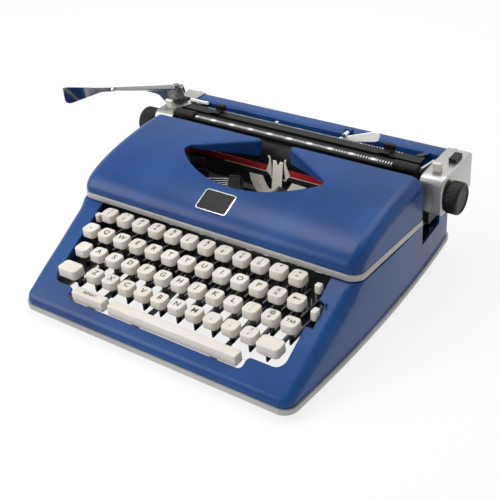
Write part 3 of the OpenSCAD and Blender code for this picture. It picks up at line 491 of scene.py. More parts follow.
def start(name):
    """An empty material with its shader, and the Object coordinates that its patterns read."""
    material = bpy.data.materials.new(name)
    tree = emptied(material)
    shader = node(tree, "BsdfPrincipled")
    node(tree, "OutputMaterial", {"Surface": shader.outputs[0]})
    return material, tree, shader, node(tree, "TexCoord").outputs["Object"]


def speckled(name, dark, light, grain, depth, rough, spread, metal=0.0, stretch=(1, 1, 1), tone=60.0, specular=0.5):
    """A surface whose colour drifts between two tones over tone millimetres, with a grain of grain
    millimetres that raises a bump of depth millimetres and loosens the roughness by spread."""
    material, tree, shader, where = start(name)
    drift = node(tree, "TexNoise", {"Vector": where, "Scale": 1 / (tone * MM), "Detail": 2.0})
    ramp = node(tree, "ValToRGB", {"Fac": drift.outputs["Fac"]})
    for stop, place, code in zip(ramp.color_ramp.elements, (0.35, 0.65), (dark, light)):
        stop.position = place
        stop.color = linear(code)
    stretched = node(tree, "Mapping", {"Vector": where, "Scale": stretch})
    fine = node(tree, "TexNoise", {"Vector": stretched.outputs[0], "Scale": 1 / (grain * MM), "Detail": 3.0})
    bump = node(tree, "Bump", {"Height": fine.outputs["Fac"], "Strength": 1.0, "Distance": depth * MM})
    gloss = ramp_to(tree, fine.outputs["Fac"], 0.3, 0.7, rough - spread, rough + spread)
    feed(tree, shader, {"Base Color": ramp.outputs["Color"], "Roughness": gloss, "Normal": bump.outputs[0],
                        "Metallic": metal, "Specular IOR Level": specular})
    return material


def two_tone_ribbon():
    """Inked cotton ribbon: red above and black below its middle, with a weave of 0.5 mm drawn as 0.8 mm so
    that it shows."""
    material, tree, shader, where = start("ribbon_inked_cotton")
    height = node(tree, "SeparateXYZ", {"Vector": where}).outputs["Z"]
    red = ramp_to(tree, height, (RIBBON_SPLIT_Z - 0.2) * MM, (RIBBON_SPLIT_Z + 0.2) * MM, 0.0, 1.0)
    mix = node(tree, "Mix", {"Factor": red, "A": linear("1A1416"), "B": linear("B2121F")}, data_type="RGBA")
    weave = node(tree, "TexWave", {"Vector": where, "Scale": 1 / (0.8 * MM) / 6.283, "Distortion": 1.0})
    bump = node(tree, "Bump", {"Height": weave.outputs["Fac"], "Distance": 0.08 * MM})
    feed(tree, shader, {"Base Color": mix.outputs["Result"], "Normal": bump.outputs[0], "Roughness": 0.75})
    return material


def make_finishes(look):
    """All the materials of the machine: finish, material, dark and light tone, grain, depth of the bump,
    roughness, its spread, and other values."""
    for finish, *values, more in (
            # Satin enamel sprayed on steel: a soft wide sheen and a faint orange peel
            ("blue", "enamel_satin_blue", look.paint_dark, look.paint_light, 2.5, 0.002, 0.30, 0.02,
             {"specular": 0.25}),
            # Aluminium painted silver grey: fine flake that softens the shine
            ("trim", "aluminium_silver_paint", "A2A1A0", "B2B1AE", 0.9, 0.012, 0.40, 0.08, {"metal": 0.2}),
            # Silver lacquered plastic of the carriage ends: a half bright, metallic sheen
            ("silver", "plastic_silver_lacquer", "A9A9A8", "B8B7B5", 0.7, 0.008, 0.32, 0.06, {"metal": 0.8}),
            # Moulded ABS in cream and white: a faint texture, a soft sheen
            ("cream", "abs_cream_moulded", "D3CCC2", "DDD7CE", 0.6, 0.012, 0.42, 0.06, {}),
            ("white", "abs_white_moulded", "F4F3EF", "FAF9F6", 0.6, 0.01, 0.4, 0.06, {}),
            # Moulded ABS in black: deep, with a dull shine
            ("black", "abs_black_moulded", "0E0E10", "161618", 0.8, 0.015, 0.45, 0.08, {"specular": 0.25}),
            # Printing ink of signs and scales: flat and even
            ("ink", "ink_dark_print", "232326", "2E2E32", 0.5, 0.0, 0.55, 0.05, {}),
            ("print", "ink_white_print", "DAD9D4", "E6E5E0", 0.5, 0.0, 0.55, 0.05, {}),
            # Blackened steel of frame and levers: stamped, slightly oily. On the key levers it is also painted shade
            # for their sides
            ("dark_steel", "steel_blackened", "191B1B", "262827", 1.2, 0.012, 0.50, 0.10,
             {"metal": 0.2, "specular": 0.3}),
            # Zinc-plated steel, pale grey and half matt, of the type slugs; it also makes the painted highlights along
            # the upper edges of the dark key levers and type bars
            ("lever", "steel_zinc_plated_and_painted_highlights", "A9AAAC", "C2C3C5", 1.0, 0.01, 0.35, 0.10, {"metal": 0.4}),
            # Nickel-plated sheet of the type guide: pale and warm
            ("nickel", "steel_nickel_plate", "F1ECDD", "F8F3E6", 1.0, 0.004, 0.32, 0.06, {"metal": 0.05}),
            # Bright steel: fine scratches along X from grinding
            ("steel", "steel_ground_bright", "8F9092", "B4B5B7", 0.8, 0.008, 0.28, 0.08,
             {"metal": 1.0, "stretch": (0.08, 1, 1), "tone": 25.0}),
            # Chrome plate: a dark clear mirror with hardly any grain
            ("chrome", "steel_chrome_plate", "85888E", "93969B", 3.0, 0.003, 0.10, 0.03, {"metal": 1.0, "tone": 40.0}),
            # Polished aluminium of the badge's border, also used for the painted highlights on the bail's black arms: a
            # bright, slightly soft mirror
            ("polished", "aluminium_polished", "C4C6C9", "D2D3D5", 2.0, 0.004, 0.18, 0.04,
             {"metal": 1.0, "tone": 40.0}),
            # Hard rubber of the platen: matt, with a ground grain round it
            ("rubber", "rubber_hard_black", "121214", "1A1A1C", 0.5, 0.02, 0.62, 0.06,
             {"stretch": (0.3, 1, 1), "specular": 0.3}),
            # Moulded rubber of the feet: dull and dusty
            ("foot", "rubber_moulded_black", "1B1B1C", "262627", 1.0, 0.03, 0.75, 0.05, {})):
        FINISHES[finish] = speckled(*values, **more)
    FINISHES["ribbon"] = two_tone_ribbon()


# CAD pieces that no new piece replaces
CAD_FINISH = {
    "rubber_feet": "foot", "base_rim": "trim", "chassis": "dark_steel", "key_comb": "dark_steel",
    "key_pivot_rod": "steel", "carriage_rail": "steel", "carriage_frame": "dark_steel", "margin_rail": "black",
    "ribbon_spool_left": "black", "ribbon_spool_right": "black", "paper_bail": "black",
    "carriage_release_button": "black", "platen": "rubber",
}


class TypewriterLook(bpy.types.PropertyGroup):
    """Sizes and colours that a user may change before the pieces are made."""
    paint_dark: bpy.props.StringProperty(
        name="Paint, dark tone", description="sRGB hex of the enamel's darker drift", default="123A72")
    paint_light: bpy.props.StringProperty(
        name="Paint, light tone", description="sRGB hex of the enamel's lighter drift", default="174682")
    key_dish: bpy.props.FloatProperty(
        name="Key dish", description="Depth of the hollow in a key top, in millimetres", default=0.3, min=0.0, max=1.0)
    knurl: bpy.props.FloatProperty(
        name="Knurl depth", description="Depth of the grooves on the platen knobs, in millimetres",
        default=0.6, min=0.1, max=1.5)


class TYPEWRITER_OT_finishes(bpy.types.Operator):
    """Makes the materials and gives them to the CAD pieces that stay in view"""
    bl_idname = "typewriter.finishes"
    bl_label = "Finishes"

    def execute(self, context):
        make_finishes(context.scene.typewriter_look)
        for name, finish in CAD_FINISH.items():
            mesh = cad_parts[name].data
            mesh.materials.clear()
            mesh.materials.append(FINISHES[finish])
        return {"FINISHED"}


class TYPEWRITER_OT_casing(bpy.types.Operator):
    """Casing: sloping keyboard deck with its well, long sides and back wall"""
    bl_idname = "typewriter.casing"
    bl_label = "Casing"

    def execute(self, context):
        # Runs of the outline from the left deck end round the front to the right deck end, matched one by one
        # with runs of the well's edge
        big, small, turn = BOW_R - CASE_INSET, CORNER_R - CASE_INSET, CORNER_TURN
        first = math.asin(-SPLIT_Y / big)
        front = along([(-CORNER_X, CASE_INSET - HALF_DEPTH), (CORNER_X, CASE_INSET - HALF_DEPTH)], 260)
        runs = [arc_run(BOW_R - HALF_WIDTH, 0, big, np.pi + np.linspace(first, turn, 120)),
                arc_run(-CORNER_X, -CORNER_Y, small, np.linspace(np.pi + turn, 1.5 * np.pi, 20)),
                (front, np.repeat([[0.0, -1.0]], len(front), 0)),
                arc_run(CORNER_X, -CORNER_Y, small, np.linspace(1.5 * np.pi, 2 * np.pi - turn, 20)),
                arc_run(HALF_WIDTH - BOW_R, 0, big, 2 * np.pi - np.linspace(turn, first, 300))]
        rim, out = (np.concatenate(part) for part in zip(*runs))
        well = np.concatenate([
            along([(-WELL_X, SPLIT_Y), (-WELL_X, -115)], 120),
            bend(-118, -115, 9, 180, 270, 20),
            along([(-118, -124), (-105, -124), bend(-105, -128, 4, 90, 0), bend(-97, -130.6, 4, 180, 270),
                   bend(90, -130.6, 4, 270, 360), bend(98, -128, 4, 180, 90), (118, -124)], 260),
            bend(118, -115, 9, 270, 360, 20),
            along([(WELL_X, -115), (WELL_X, -88), bend(133, -87, 1, 270, 360, 5), bend(133, -67, 1, 0, 90, 5),
                   (WELL_X, -66), (WELL_X, SPLIT_Y)], 300)])
        # Section across the edge: upright wall, arc of radius r tangent to wall and deck, deck to the well
        y = rim[:, 1]
        r = LIP_R + (DECK_EDGE_R - LIP_R) * ease((y + 132) / 50)
        r = (REAR_EDGE_R + (r - REAR_EDGE_R) * ease((-36 - y) / 20))[:, None]
        slope = -out[:, 1:] * DECK_RISE
        lean = np.arctan(slope)
        centre = casing_top(y)[:, None] + slope * r - r / np.cos(lean)
        a = np.pi + (lean - np.pi / 2) * np.linspace(0, 1, 12)
        depth = np.concatenate([np.zeros((len(rim), 4)), r + r * np.cos(a)], 1)
        wall = CASE_FOOT + (centre - CASE_FOOT) * np.linspace(0, 1, 5)[:-1]
        height = np.concatenate([wall, centre + r * np.sin(a)], 1)
        skin = xyz(rim[:, :1] - out[:, :1] * depth, rim[:, 1:] - out[:, 1:] * depth, height)
        last = skin[:, -1:, :2]
        flat = last + (well[:, None] - last) * np.linspace(0, 1, 9)[1:, None]
        deck = xyz(flat[..., 0], flat[..., 1], casing_top(flat[..., 1]))
        front_skin = grid(np.concatenate([skin, deck], 1))
        # Rear part: upright walls whose tops step down where the carriage passes
        low, high = CUT_Y
        y = np.concatenate([np.linspace(SPLIT_Y, low - STEP_GAP, 40), np.linspace(low + STEP_GAP, high - STEP_GAP, 16),
                            np.linspace(high + STEP_GAP, big * math.sin(turn), 10)])
        side, _ = arc_run(HALF_WIDTH - BOW_R, 0, big, np.arcsin(y / big))
        corner, _ = arc_run(CORNER_X, CORNER_Y, small, np.linspace(turn, np.pi / 2, 20)[1:])
        path = mirrored(np.concatenate([side, corner]))
        y = path[:, 1:]
        top = np.where(y <= low, casing_top(y), np.where(y < high, CUT_Z, BACK_TOP))
        back_skin = grid(xyz(path[:, :1], y, CASE_FOOT + (top - CASE_FOOT) * np.linspace(0, 1, 8)))
        for name, skin in (("casing_front", front_skin), ("casing_back", back_skin)):
            piece(name, [skin], "blue", "body", ("body_shell",), 40, CASE_WALL)
        return {"FINISHED"}


def hood_stations():
    """Places across the hood from left to right: X, and the drop of the section there, which follows a quarter
    circle of the edge radius next to each end wall and is nothing between."""
    a = np.radians(np.linspace(90, 0, 19))
    edge, drop = HOOD_EDGE_R * (1 - np.sin(a)) - HOOD_HALF_W, HOOD_EDGE_R * (1 - np.cos(a))
    middle = np.linspace(-1, 1, 121)[1:-1] * (HOOD_HALF_W - HOOD_EDGE_R)
    return np.concatenate([edge, middle, -edge[::-1]]), np.concatenate([drop, 0 * middle, drop[::-1]])


def hood_point(x, drop, psi):
    """Point of the hood: in the cut at x, a quarter ellipse from the front edge over the crown to the back,
    with both half axes shortened by the drop of the side edges."""
    return xyz(x, HOOD_BACK_Y - (HOOD_DEPTH - drop) * np.cos(psi), HOOD_SPRING_Z + (HOOD_RISE - drop) * np.sin(psi))


def flange_path():
    """Right back edge of the type opening in plan, from its tip to the hood's back edge: a slanting line and a
    round corner, as points, normals into the opening and the share of its length."""
    points = along([(OPENING_HALF_W - 3.2, 32.2), bend(OPENING_GAP + 5, HOOD_BACK_Y - 1, 5, 238, 180),
                    (OPENING_GAP, HOOD_BACK_Y)], 90)
    return points, left_of(points), np.linspace(0, 1, 90)


def opening_outline():
    """Edge at which the shell is cut for the type opening, in plan: a front arc, two round tips, and the back
    edges set back by the radius in which they roll down."""
    chord = OPENING_TIP_Y - OPENING_FRONT_Y
    r = (OPENING_HALF_W ** 2 + chord ** 2) / (2 * chord)
    reach = math.degrees(math.asin((OPENING_HALF_W - 2) / r))
    front = bend(0, OPENING_FRONT_Y + r, r, 270 - reach, 270 + reach, 90)
    points, inward, share = flange_path()
    half = np.vstack([(OPENING_HALF_W - 0.4, 26.5), (OPENING_HALF_W - 1.2, 29.3),
                      points - inward * (FLANGE_R * np.clip(share * 12, 0, 1))[:, None],
                      (OPENING_GAP + FLANGE_R, HOOD_BACK_Y + 6)])
    return np.concatenate([front, mirrored(half)])


class TYPEWRITER_OT_hood(bpy.types.Operator):
    """Hood: domed cover with the type opening, its turned-down edges and its hinge lugs"""
    bl_idname = "typewriter.hood"
    bl_label = "Hood"

    def execute(self, context):
        x, drop = hood_stations()
        dome = hood_point(x[:, None], drop[:, None], np.radians(90 * np.linspace(0, 1, 71) ** 1.25))
        skirt = np.repeat(dome[:, :1], 3, 1)
        low = trim_top(skirt[:, :, 1])
        skirt[:, :, 2] = low + (HOOD_SPRING_Z - low) * np.array([0.0, 0.4, 0.75])
        skin = np.concatenate([skirt, dome], 1)
        # Flat end walls: straight from the last section to the upright back edge
        ends = skin[[0, -1]]
        back = ends.copy()
        back[:, :, 1] = HOOD_BACK_Y
        back[:, :, 2] = np.linspace(trim_top(HOOD_BACK_Y), HOOD_SPRING_Z + HOOD_RISE - HOOD_EDGE_R, skin.shape[1])
        left, right = (end + (far - end) * np.linspace(1, 0, 9)[:-1, None, None] for end, far in zip(ends, back))
        verts, tris = grid(np.concatenate([left, skin, right[::-1]]))
        shell = cut(verts, tris, line_distance(verts[:, :2], opening_outline()))
        piece("hood_shell", [shell], "blue", "hood", ("hood",), 40, HOOD_WALL)
        # Edges rolled down from the dome: a quarter circle, then a straight flange that deepens to the gap
        points, inward, share = flange_path()
        roll = (FLANGE_R * np.clip(share * 12, 0.05, 1))[:, None]
        end = np.sqrt(np.clip(1 - (np.clip(share - 0.9, 0, 1) / 0.1) ** 2, 0.03, 1))
        depth = ((2.0 + 11.5 * share / 0.9) * end)[:, None]
        turn = np.append(np.linspace(0, np.pi / 2, 7), np.full(4, np.pi / 2))
        fall = roll * (1 - np.cos(turn)) + depth * np.append(np.zeros(7), np.linspace(0.25, 1, 4))
        plan = points[:, None] + inward[:, None] * (roll * (np.sin(turn) - 1))[..., None]
        psi = np.arccos((HOOD_BACK_Y - plan[:, :1, 1]) / HOOD_DEPTH)
        level = HOOD_SPRING_Z + HOOD_RISE * np.sin(psi) - 0.02
        y, z = HOOD_HINGE
        lug = np.vstack([bend(y, z, 5, 180, 360, 12), (y + 3, z + 4), (y - 5, z + 4)])
        parts = []
        for s in (1, -1):
            skin = xyz(plan[..., 0] * s, plan[..., 1], level - fall)
            across = xyz(inward[:, :1] * np.sin(turn) * s, inward[:, 1:] * np.sin(turn), np.cos(turn)) * FLANGE_T
            parts += [sheet(skin - across / 2, across), plate(lug, s * 135.3, s * 138.3),
                      turned(tube(s * 131.5, s * 136, 0, 1.9), (0, y, z), 20)]
        piece("hood_edges", parts, "blue", "hood", ("hood",))
        return {"FINISHED"}


def base_path():
    """Outline of the base, counter-clockwise from the middle of the right side, as points and outward
    normals: two long bowed sides and two straight ends, joined by round corners."""
    turn, half, full = CORNER_TURN, np.pi, 2 * np.pi
    runs = [arc_run(cx, cy, r, np.linspace(a0, a1, n)) for cx, cy, r, a0, a1, n in (
        (HALF_WIDTH - BOW_R, 0, BOW_R, 0, turn, 60),
        (CORNER_X, CORNER_Y, CORNER_R, turn, half / 2, 20),
        (-CORNER_X, CORNER_Y, CORNER_R, half / 2, half - turn, 20),
        (BOW_R - HALF_WIDTH, 0, BOW_R, half - turn, half + turn, 120),
        (-CORNER_X, -CORNER_Y, CORNER_R, half + turn, 1.5 * half, 20),
        (CORNER_X, -CORNER_Y, CORNER_R, 1.5 * half, full - turn, 20),
        (HALF_WIDTH - BOW_R, 0, BOW_R, full - turn, full, 60))]
    points, normals = (np.concatenate(part) for part in zip(*runs))
    keep = np.append(np.linalg.norm(np.diff(points, axis=0), axis=1) > 1e-6, False)
    return points[keep], normals[keep]


class TYPEWRITER_OT_trim(bpy.types.Operator):
    """Silver-grey strip along the hood's lower edge, and the base rim's outer ring"""
    bl_idname = "typewriter.trim"
    bl_label = "Trim and rim"

    def execute(self, context):
        path, out = arc_run(HOOD_EDGE_R - HOOD_HALF_W, HOOD_FRONT_Y + HOOD_EDGE_R, HOOD_EDGE_R,
                            np.radians(np.linspace(180, 270, 24)))
        path = mirrored(np.vstack([(-HOOD_HALF_W, HOOD_BACK_Y), path]))
        out = mirrored(np.vstack([(-1.0, 0.0), out]))
        profile = round_rect(1.6, (TRIM_H - TRIM_GROOVE) / 2, 0.8, 5) + [TRIM_PROUD - 1.6, -(TRIM_H + TRIM_GROOVE) / 2]
        strip = carried(np.column_stack([path, trim_top(path[:, 1])]), out, profile)
        piece("hood_trim_strip", [strip], "trim", "hood", ("hood_trim",), 40)
        points, normals = base_path()
        path = np.column_stack([points, np.full(len(points), (RIM_LOW + CASE_LOW) / 2)])
        profile = round_rect(1.9, (CASE_LOW - RIM_LOW) / 2 + 0.02, 1.2, 5) + [0.1 - 1.9, 0]
        piece("base_rim_ring", [carried(path, normals, profile, True)], "trim", "body", (), 40)
        return {"FINISHED"}


# Row and place of the keys on every key node, and the signs on the keys row by row
KEY_NODES = {"number_keys": [(0, i) for i in range(12)], "bottom_keys": [(3, i) for i in range(10)],
             "mark_keys": [(1, 0), (1, 11), (2, 10), (2, 11)], "backspace_key": [(1, 12)],
             "shift_lock": [(2, 0)], "tab_key": [(2, 12)]}
KEY_NODES.update({"key_" + c: [(1, i + 1)] for i, c in enumerate("qwertyuiop")})
KEY_NODES.update({"key_" + c: [(2, i + 1)] for i, c in enumerate("asdfghjkl")})
LEGENDS = [list(zip("!\"#$%_&'()*+", "1234567890-=")),
           [*zip("-QWERTYUIOP"), ("¼", "½"), ("<",)],
           [("",), *zip("ASDFGHJKL"), (":", ";"), ("@", "¢"), ("TAB",)],
           [*zip("ZXCVBNM,."), ("?", "/")]]


def lever(x, front_y, front_z, top_z):
    """Key lever on X = x: a straight bar to the pivot rod, an upright stem under the key top and a hub. The
    second list holds a pale strip along the lever's upper edge: a painted highlight where light catches it."""
    x0, x1 = x - LEVER_T / 2, x + LEVER_T / 2
    a, b = np.array([front_y - LEVER_W / 2, front_z]), np.array(PIVOT)
    d = b - a
    up = np.array([-d[1], d[0]]) / np.linalg.norm(d) * LEVER_H / 2
    stem = box((x0, a[0], front_z - LEVER_H / 2), (x1, a[0] + LEVER_W, top_z))
    bar = plate([a - up, b - up, b + up, a + up], x0, x1)
    hub = turned(tube(x - 0.9, x + 0.9, *HUB_R), (0, *PIVOT), 16)
    c = a + d * LEVER_W / d[0] + up
    # Pale strip along the upper edge: a painted highlight where light catches it
    edge_highlight = plate([c - up * 0.06, b + up * 0.94, b + up * 1.06, c + up * 0.06], x0 - 0.1, x1 + 0.1)
    return [stem, bar, hub], [edge_highlight]


def arrow(x, y, z):
    """Printed arrow that points left: a shaft and a triangular head, flat on height z."""
    flat = np.array([(3.6, -0.5), (3.6, 0.5), (-1.2, 0.5), (-1.2, 1.9), (-4.2, 0.0), (-1.2, -1.9), (-1.2, -0.5)])
    return xyz(*(flat + [x, y]).T, z + PRINT_H), np.array([(0, 1, 2), (0, 2, 6), (3, 4, 5)])


def key_legend(words, x, y, z, dish):
    """The print on one key top: one sign in its middle, or two signs above each other, laid on the dished face."""
    if not any(words):
        return []
    if words == ("<",):
        signs = [arrow(x, y, z)]
    elif len(words) == 1:
        signs = [letters(words[0], SIGN_SIZE if len(words[0]) == 1 else WORD_SIZE, x, y + 0.3, z)]
    else:
        signs = [letters(w, PAIR_SIZE, x, y + dy, z) for w, dy in zip(words, PAIR_Y)]
    for verts, _ in signs:
        far = np.abs(verts[:, :2] - [x, y]).max(1) / (CAP_W / 2 - CAP_EDGE - CAP_FLARE)
        verts[:, 2] += dish * far ** 2
    return signs


def key_pieces(name, caps, bars, edges):
    """Tops, levers and bright lever edges of one key node; the levers' dark finish is painted shade on their sides, and
    the bright edges are painted highlights.
    """
    piece(name + "_tops", caps, "cream", name, (name,), 50)
    piece(name + "_levers", bars, "dark_steel", name, (name,))
    piece(name + "_edges", edges, "lever", name, (name,))


class TYPEWRITER_OT_keys(bpy.types.Operator):
    """Keys: dished cream tops with printed signs, each group on its levers"""
    bl_idname = "typewriter.keys"
    bl_label = "Keys"

    def execute(self, context):
        dish = context.scene.typewriter_look.key_dish
        cap = (CAP_R, CAP_EDGE, CAP_FLARE, dish)
        for name, sites in KEY_NODES.items():
            caps, bars, edges, signs = [], [], [], []
            for r, i in sites:
                x, y, z = ROW_X[r] + PITCH * i, ROW_Y[r], ROW_Z[r]
                caps.append(moulding((CAP_W, CAP_W, CAP_H), (x, y, z - CAP_H), *cap))
                plates, edge_highlights = lever(x, y, LEVER_Z[r], z - CAP_H + 0.2)
                bars += plates
                edges += edge_highlights
                signs += key_legend(LEGENDS[r][i], x, y, z - dish + 0.03, dish)
            key_pieces(name, caps, bars, edges)
            if signs:
                piece(name + "_print", signs, "ink", name)
        # Shift keys: wide tops on a bracket beside their levers, which a rod joins behind the pivot
        caps, bars, edges = [], [], []
        y, low = SHIFT_Y, ROW_Z[3] - CAP_H
        for x, at in ((-111.3, -102.5), (109.6, 106.5)):
            caps.append(moulding(SHIFT_SIZE, (x, y, low - 1), *cap))
            plates, edge_highlights = lever(at, y, LEVER_Z[3], low - 4)
            bars += plates
            edges += edge_highlights
            bars += [box((min(x, at) - 2, y - 4, low - 5), (max(x, at) + 2, y + 4, low - 0.8)),
                     box((at - LEVER_T / 2, 74, 26), (at + LEVER_T / 2, 85, 34))]
        bars.append(turned(tube(-104, 108, 0, 2), (0, 81, 30), 20))
        key_pieces("shift_keys", caps, bars, edges)
        return {"FINISHED"}


class TYPEWRITER_OT_bars(bpy.types.Operator):
    """Space bar and repeat bar on their low arms"""
    bl_idname = "typewriter.bars"
    bl_label = "Space bar and repeat bar"

    def execute(self, context):
        # The arms run in the free places between the key levers, a quarter of the key pitch apart
        for name, x, w, places in (("space_bar", 18.75, 139.5, (17, 35)), ("repeat_bar", REPEAT_X, 37.5, (6,))):
            top = moulding((w, 10.5, 10), (x, BAR_Y, BAR_Z), 1.8, 1.1, 0.2, -0.1)
            piece(name + "_top", [top], "cream", name, (name,), 50)
            arms = []
            for n in places:
                at = ROW_X[0] + PITCH * (n / 4 + 1 / 8)
                x0, x1 = at - 0.6, at + 0.6
                arms += [box((x0, BAR_Y - 4, 14), (x1, BAR_Y + 4, BAR_Z + 0.1)),
                         box((x0, BAR_Y - 4, 14), (x1, -100, 20)),
                         plate([(-100, 14), (70, 27), (70, 33), (-100, 20)], x0, x1),
                         turned(tube(at - 0.7, at + 0.7, *HUB_R), (0, *PIVOT), 16)]
            piece(name + "_arms", arms, "dark_steel", name, (name,))
        piece("repeat_bar_print", [letters("REPEAT", 4.6, REPEAT_X, -128.4, 34.12)], "ink", "repeat_bar")
        return {"FINISHED"}


def on_fan(angle, r, w, h):
    """Points of the type basket: a distance r from its centre at an angle in degrees, w sideways and h off the
    fan's plane, which leans towards the typist."""
    a, c, s = np.radians(angle), math.cos(FAN_TILT), math.sin(FAN_TILT)
    u, v = r * np.cos(a) - w * np.sin(a), r * np.sin(a) + w * np.cos(a)
    return xyz(u, FAN_Y + v * c - h * s, FAN_Z + v * s + h * c)


def fan_blocks(angles, r, half_w, h):
    """One block on the fan for every angle: from r[0] to r[1], half_w wide at either radius, between the two h."""
    rr, ww = np.array([r[0], r[1], r[1], r[0]]), np.array([-half_w[0], -half_w[1], half_w[1], half_w[0]])
    return [closed(np.array([on_fan(a, rr, ww, h[0]), on_fan(a, rr, ww, h[1])])) for a in angles]


class TYPEWRITER_OT_basket(bpy.types.Operator):
    """Type basket: slotted segment, fan of type bars with their slugs, type guide and ribbon carrier"""
    bl_idname = "typewriter.basket"
    bl_label = "Type basket"

    def execute(self, context):
        bars = FAN_FROM + FAN_STEP * np.arange(TYPE_BARS)
        teeth = FAN_FROM + FAN_STEP * (np.arange(TYPE_BARS + 1) - 0.5)
        arc = np.linspace(192, 348, 80)
        ring = np.stack([on_fan(arc, r, 0.0, h) for r, h in ((22, -5), (34, -5), (34, -2), (22, -2))], 1)
        parts = [closed(ring)] + fan_blocks(teeth, (22, 34), (0.3, 0.55), (-2.2, 5))
        parts += [box((-10, 16, 46), (10, 46, 51.9)), box((-8, 16, 46), (8, 25, 67))]
        piece("type_segment_ring", parts, "dark_steel", "body", ("type_segment",))
        fan = fan_blocks(bars, (24, 70.2), (0.45, 0.45), (-1.8, 1.2))
        piece("type_bar_fan", fan, "dark_steel", "body", ("type_bars",))
        # Pale strips on the upper faces of the dark type bars: painted highlights where light catches them
        bar_top_highlights = fan_blocks(bars, (35, 70), (0.3, 0.3), (1.1, 1.35))
        slugs = fan_blocks(bars, (70, 73), (1.3, 1.3), (-2.8, 6.2))
        piece("type_slugs_and_bar_highlights", bar_top_highlights + slugs, "lever", "body", ("type_bars",))
        # Guide plate: a band from the left wing over the foot to the right wing, and a tongue with a notch
        half = np.array([[(17.0, 72.5), (32.5, 72.0)], [(14.6, 68.5), (31.0, 67.0)], [(12.0, 64.6), (27.5, 61.0)],
                         [(9.5, 61.5), (20.0, 52.0)], [(5.0, 60.8), (10.0, 52.0)], [(0.0, 60.6), (0.0, 52.0)]])
        band = np.concatenate([half * [-1, 1], half[-2::-1]])
        top = np.array([90.5, 90.5, 86.0, 90.5, 90.5])
        rows = 57 + (top - 57) * np.linspace(0, 1, 6)[:, None]
        plates = [sheet(xyz(x, 64.6 + 0.2 * (z - 62), z), (0, 1.0, 0))
                  for x, z in ((band[..., 0], band[..., 1]), (np.array([-5.6, -2.3, 0.0, 2.3, 5.6]), rows))]
        plates.append(box((-20, 44, 52), (20, 63, 53)))
        screw = [(0, 0), (0, 2.6), (-0.8, 2.5), (-0.8, 1.9), (-0.4, 1.8), (-0.9, 1.2), (-0.9, 0)]
        plates.append(turned(screw, (-19.5, 64.4, 64.0), 24, "Y"))
        piece("type_guide_plate", plates, "nickel", "body", ("type_guide",))
        half = np.vstack([bend(101, 62, 8, 90, 4), (109.2, 30.0)])
        path = np.concatenate([half[::-1] * [-1, 1], along([(-100, RIBBON_Y), (100, RIBBON_Y)], 40), half])
        profile = np.array([(-1, -1), (1, -1), (1, 1), (-1, 1)]) * [RIBBON_HALF_T, RIBBON_HALF_H]
        band = carried(np.column_stack([path, np.full(len(path), RIBBON_Z)]), left_of(path), profile)
        piece("ribbon_band", [band], "ribbon", "body", ("ribbon",), 60)
        # Carrier: two fingers in front of the ribbon, joined below it, and a wire to either side
        arm = np.array([[(13.8, 78.5), (8.0, 72.0)], [(10.8, 85.5), (7.4, 83.0)], [(9.4, 91.5), (7.6, 91.0)],
                        [(10.6, 95.2), (8.2, 94.4)]])
        carrier = [box((-9, 68.9, 71.2), (9, 69.5, 73.0))]
        for s in (-1, 1):
            carrier += [sheet(xyz(arm[..., 0] * s, 69.2, arm[..., 1]), (0, 0.6, 0)),
                        box((13 * s, 69.1, 76.9), (64 * s, 69.5, 77.4))]
        piece("ribbon_carrier", carrier, "nickel", "body")
        return {"FINISHED"}


class TYPEWRITER_OT_tabs(bpy.types.Operator):
    """Small cream tabs beside the keys, on dark arms, and the ribbon selector"""
    bl_idname = "typewriter.tabs"
    bl_label = "Tabs and selector"

    def execute(self, context):
        low, tab = deck_z(SELECTOR_Y) - 4, (6.4, 6.4, 8)
        for name, size, at, r, edge, arm in (
                ("carriage_lock_tab", tab, (-122, -57.5, 58.5), 2.0, 0.9, [((-123, -58, 56), (-121, -40.3, 59.2))]),
                ("margin_release_tab", tab, (122, -57.5, 61.5), 2.0, 0.9, [((121, -58, 56), (123, -40.3, 59.2))]),
                ("ribbon_selector", (6, 8, 9), (130, SELECTOR_Y, low), 1.6, 0.8,
                 [((131.5, -80, 38), (132.7, -47, 46)), ((131.5, -80, 38), (132.7, -74, low + 1))])):
            piece(name + "_top", [moulding(size, at, r, edge, 0.2, -0.2, 5)], "cream", name, (name,), 50)
            piece(name + "_arm", [box(*corners) for corners in arm], "dark_steel", name, (name,))
        return {"FINISHED"}


class TYPEWRITER_OT_knobs(bpy.types.Operator):
    """Platen knobs: knurled grips with a smooth rounded end face"""
    bl_idname = "typewriter.knobs"
    bl_label = "Platen knobs"

    def execute(self, context):
        # Length from either end, radius, and share of the knurling
        inner = [(0, 0, 0), (0, 12.5, 0), (1.0, 14.4, 0.3), (2.0, 15, 1)]
        outer = [(-3.2, 15, 1), (-2.4, 15, 0.2), (-1.8, 14.8, 0), (-0.8, 14.2, 0), (-0.2, 13.2, 0), (0, 12.0, 0),
                 (-0.1, 11.6, 0), (-0.8, 11.2, 0), (-0.8, 6, 0), (-0.8, 0, 0)]
        for tag, s, length in (("right", 1, 13.0), ("left", -1, 20.0)):
            profile = np.vstack([inner, np.add(outer, (length, 0, 0))]) + [KNOB_X, 0, 0]
            knob = turned(profile * [s, 1, 1], (0, *PLATEN), 6 * KNURLS, "X", context.scene.typewriter_look.knurl)
            piece("platen_knob_" + tag, [knob], "black", "platen", ("platen_knobs",), 40)
        return {"FINISHED"}


def cover_ring(inset, n=10):
    """Side view of an end cover moved in by inset: round nose at the front, small round corners elsewhere."""
    r, c = 10.5 - inset, max(3.0 - inset, 0.3)
    lo_y, hi_y, lo_z, hi_z = 82.4 + inset, 145.8 - inset, 68.6 + inset, 104.6 - inset
    return np.concatenate([bend(lo_y + r, hi_z - r, r, 180, 90, 2 * n), bend(hi_y - c, hi_z - c, c, 90, 0, n),
                           bend(hi_y - c, lo_z + c, c, 360, 270, n), bend(lo_y + c, lo_z + c, c, 270, 180, n)])


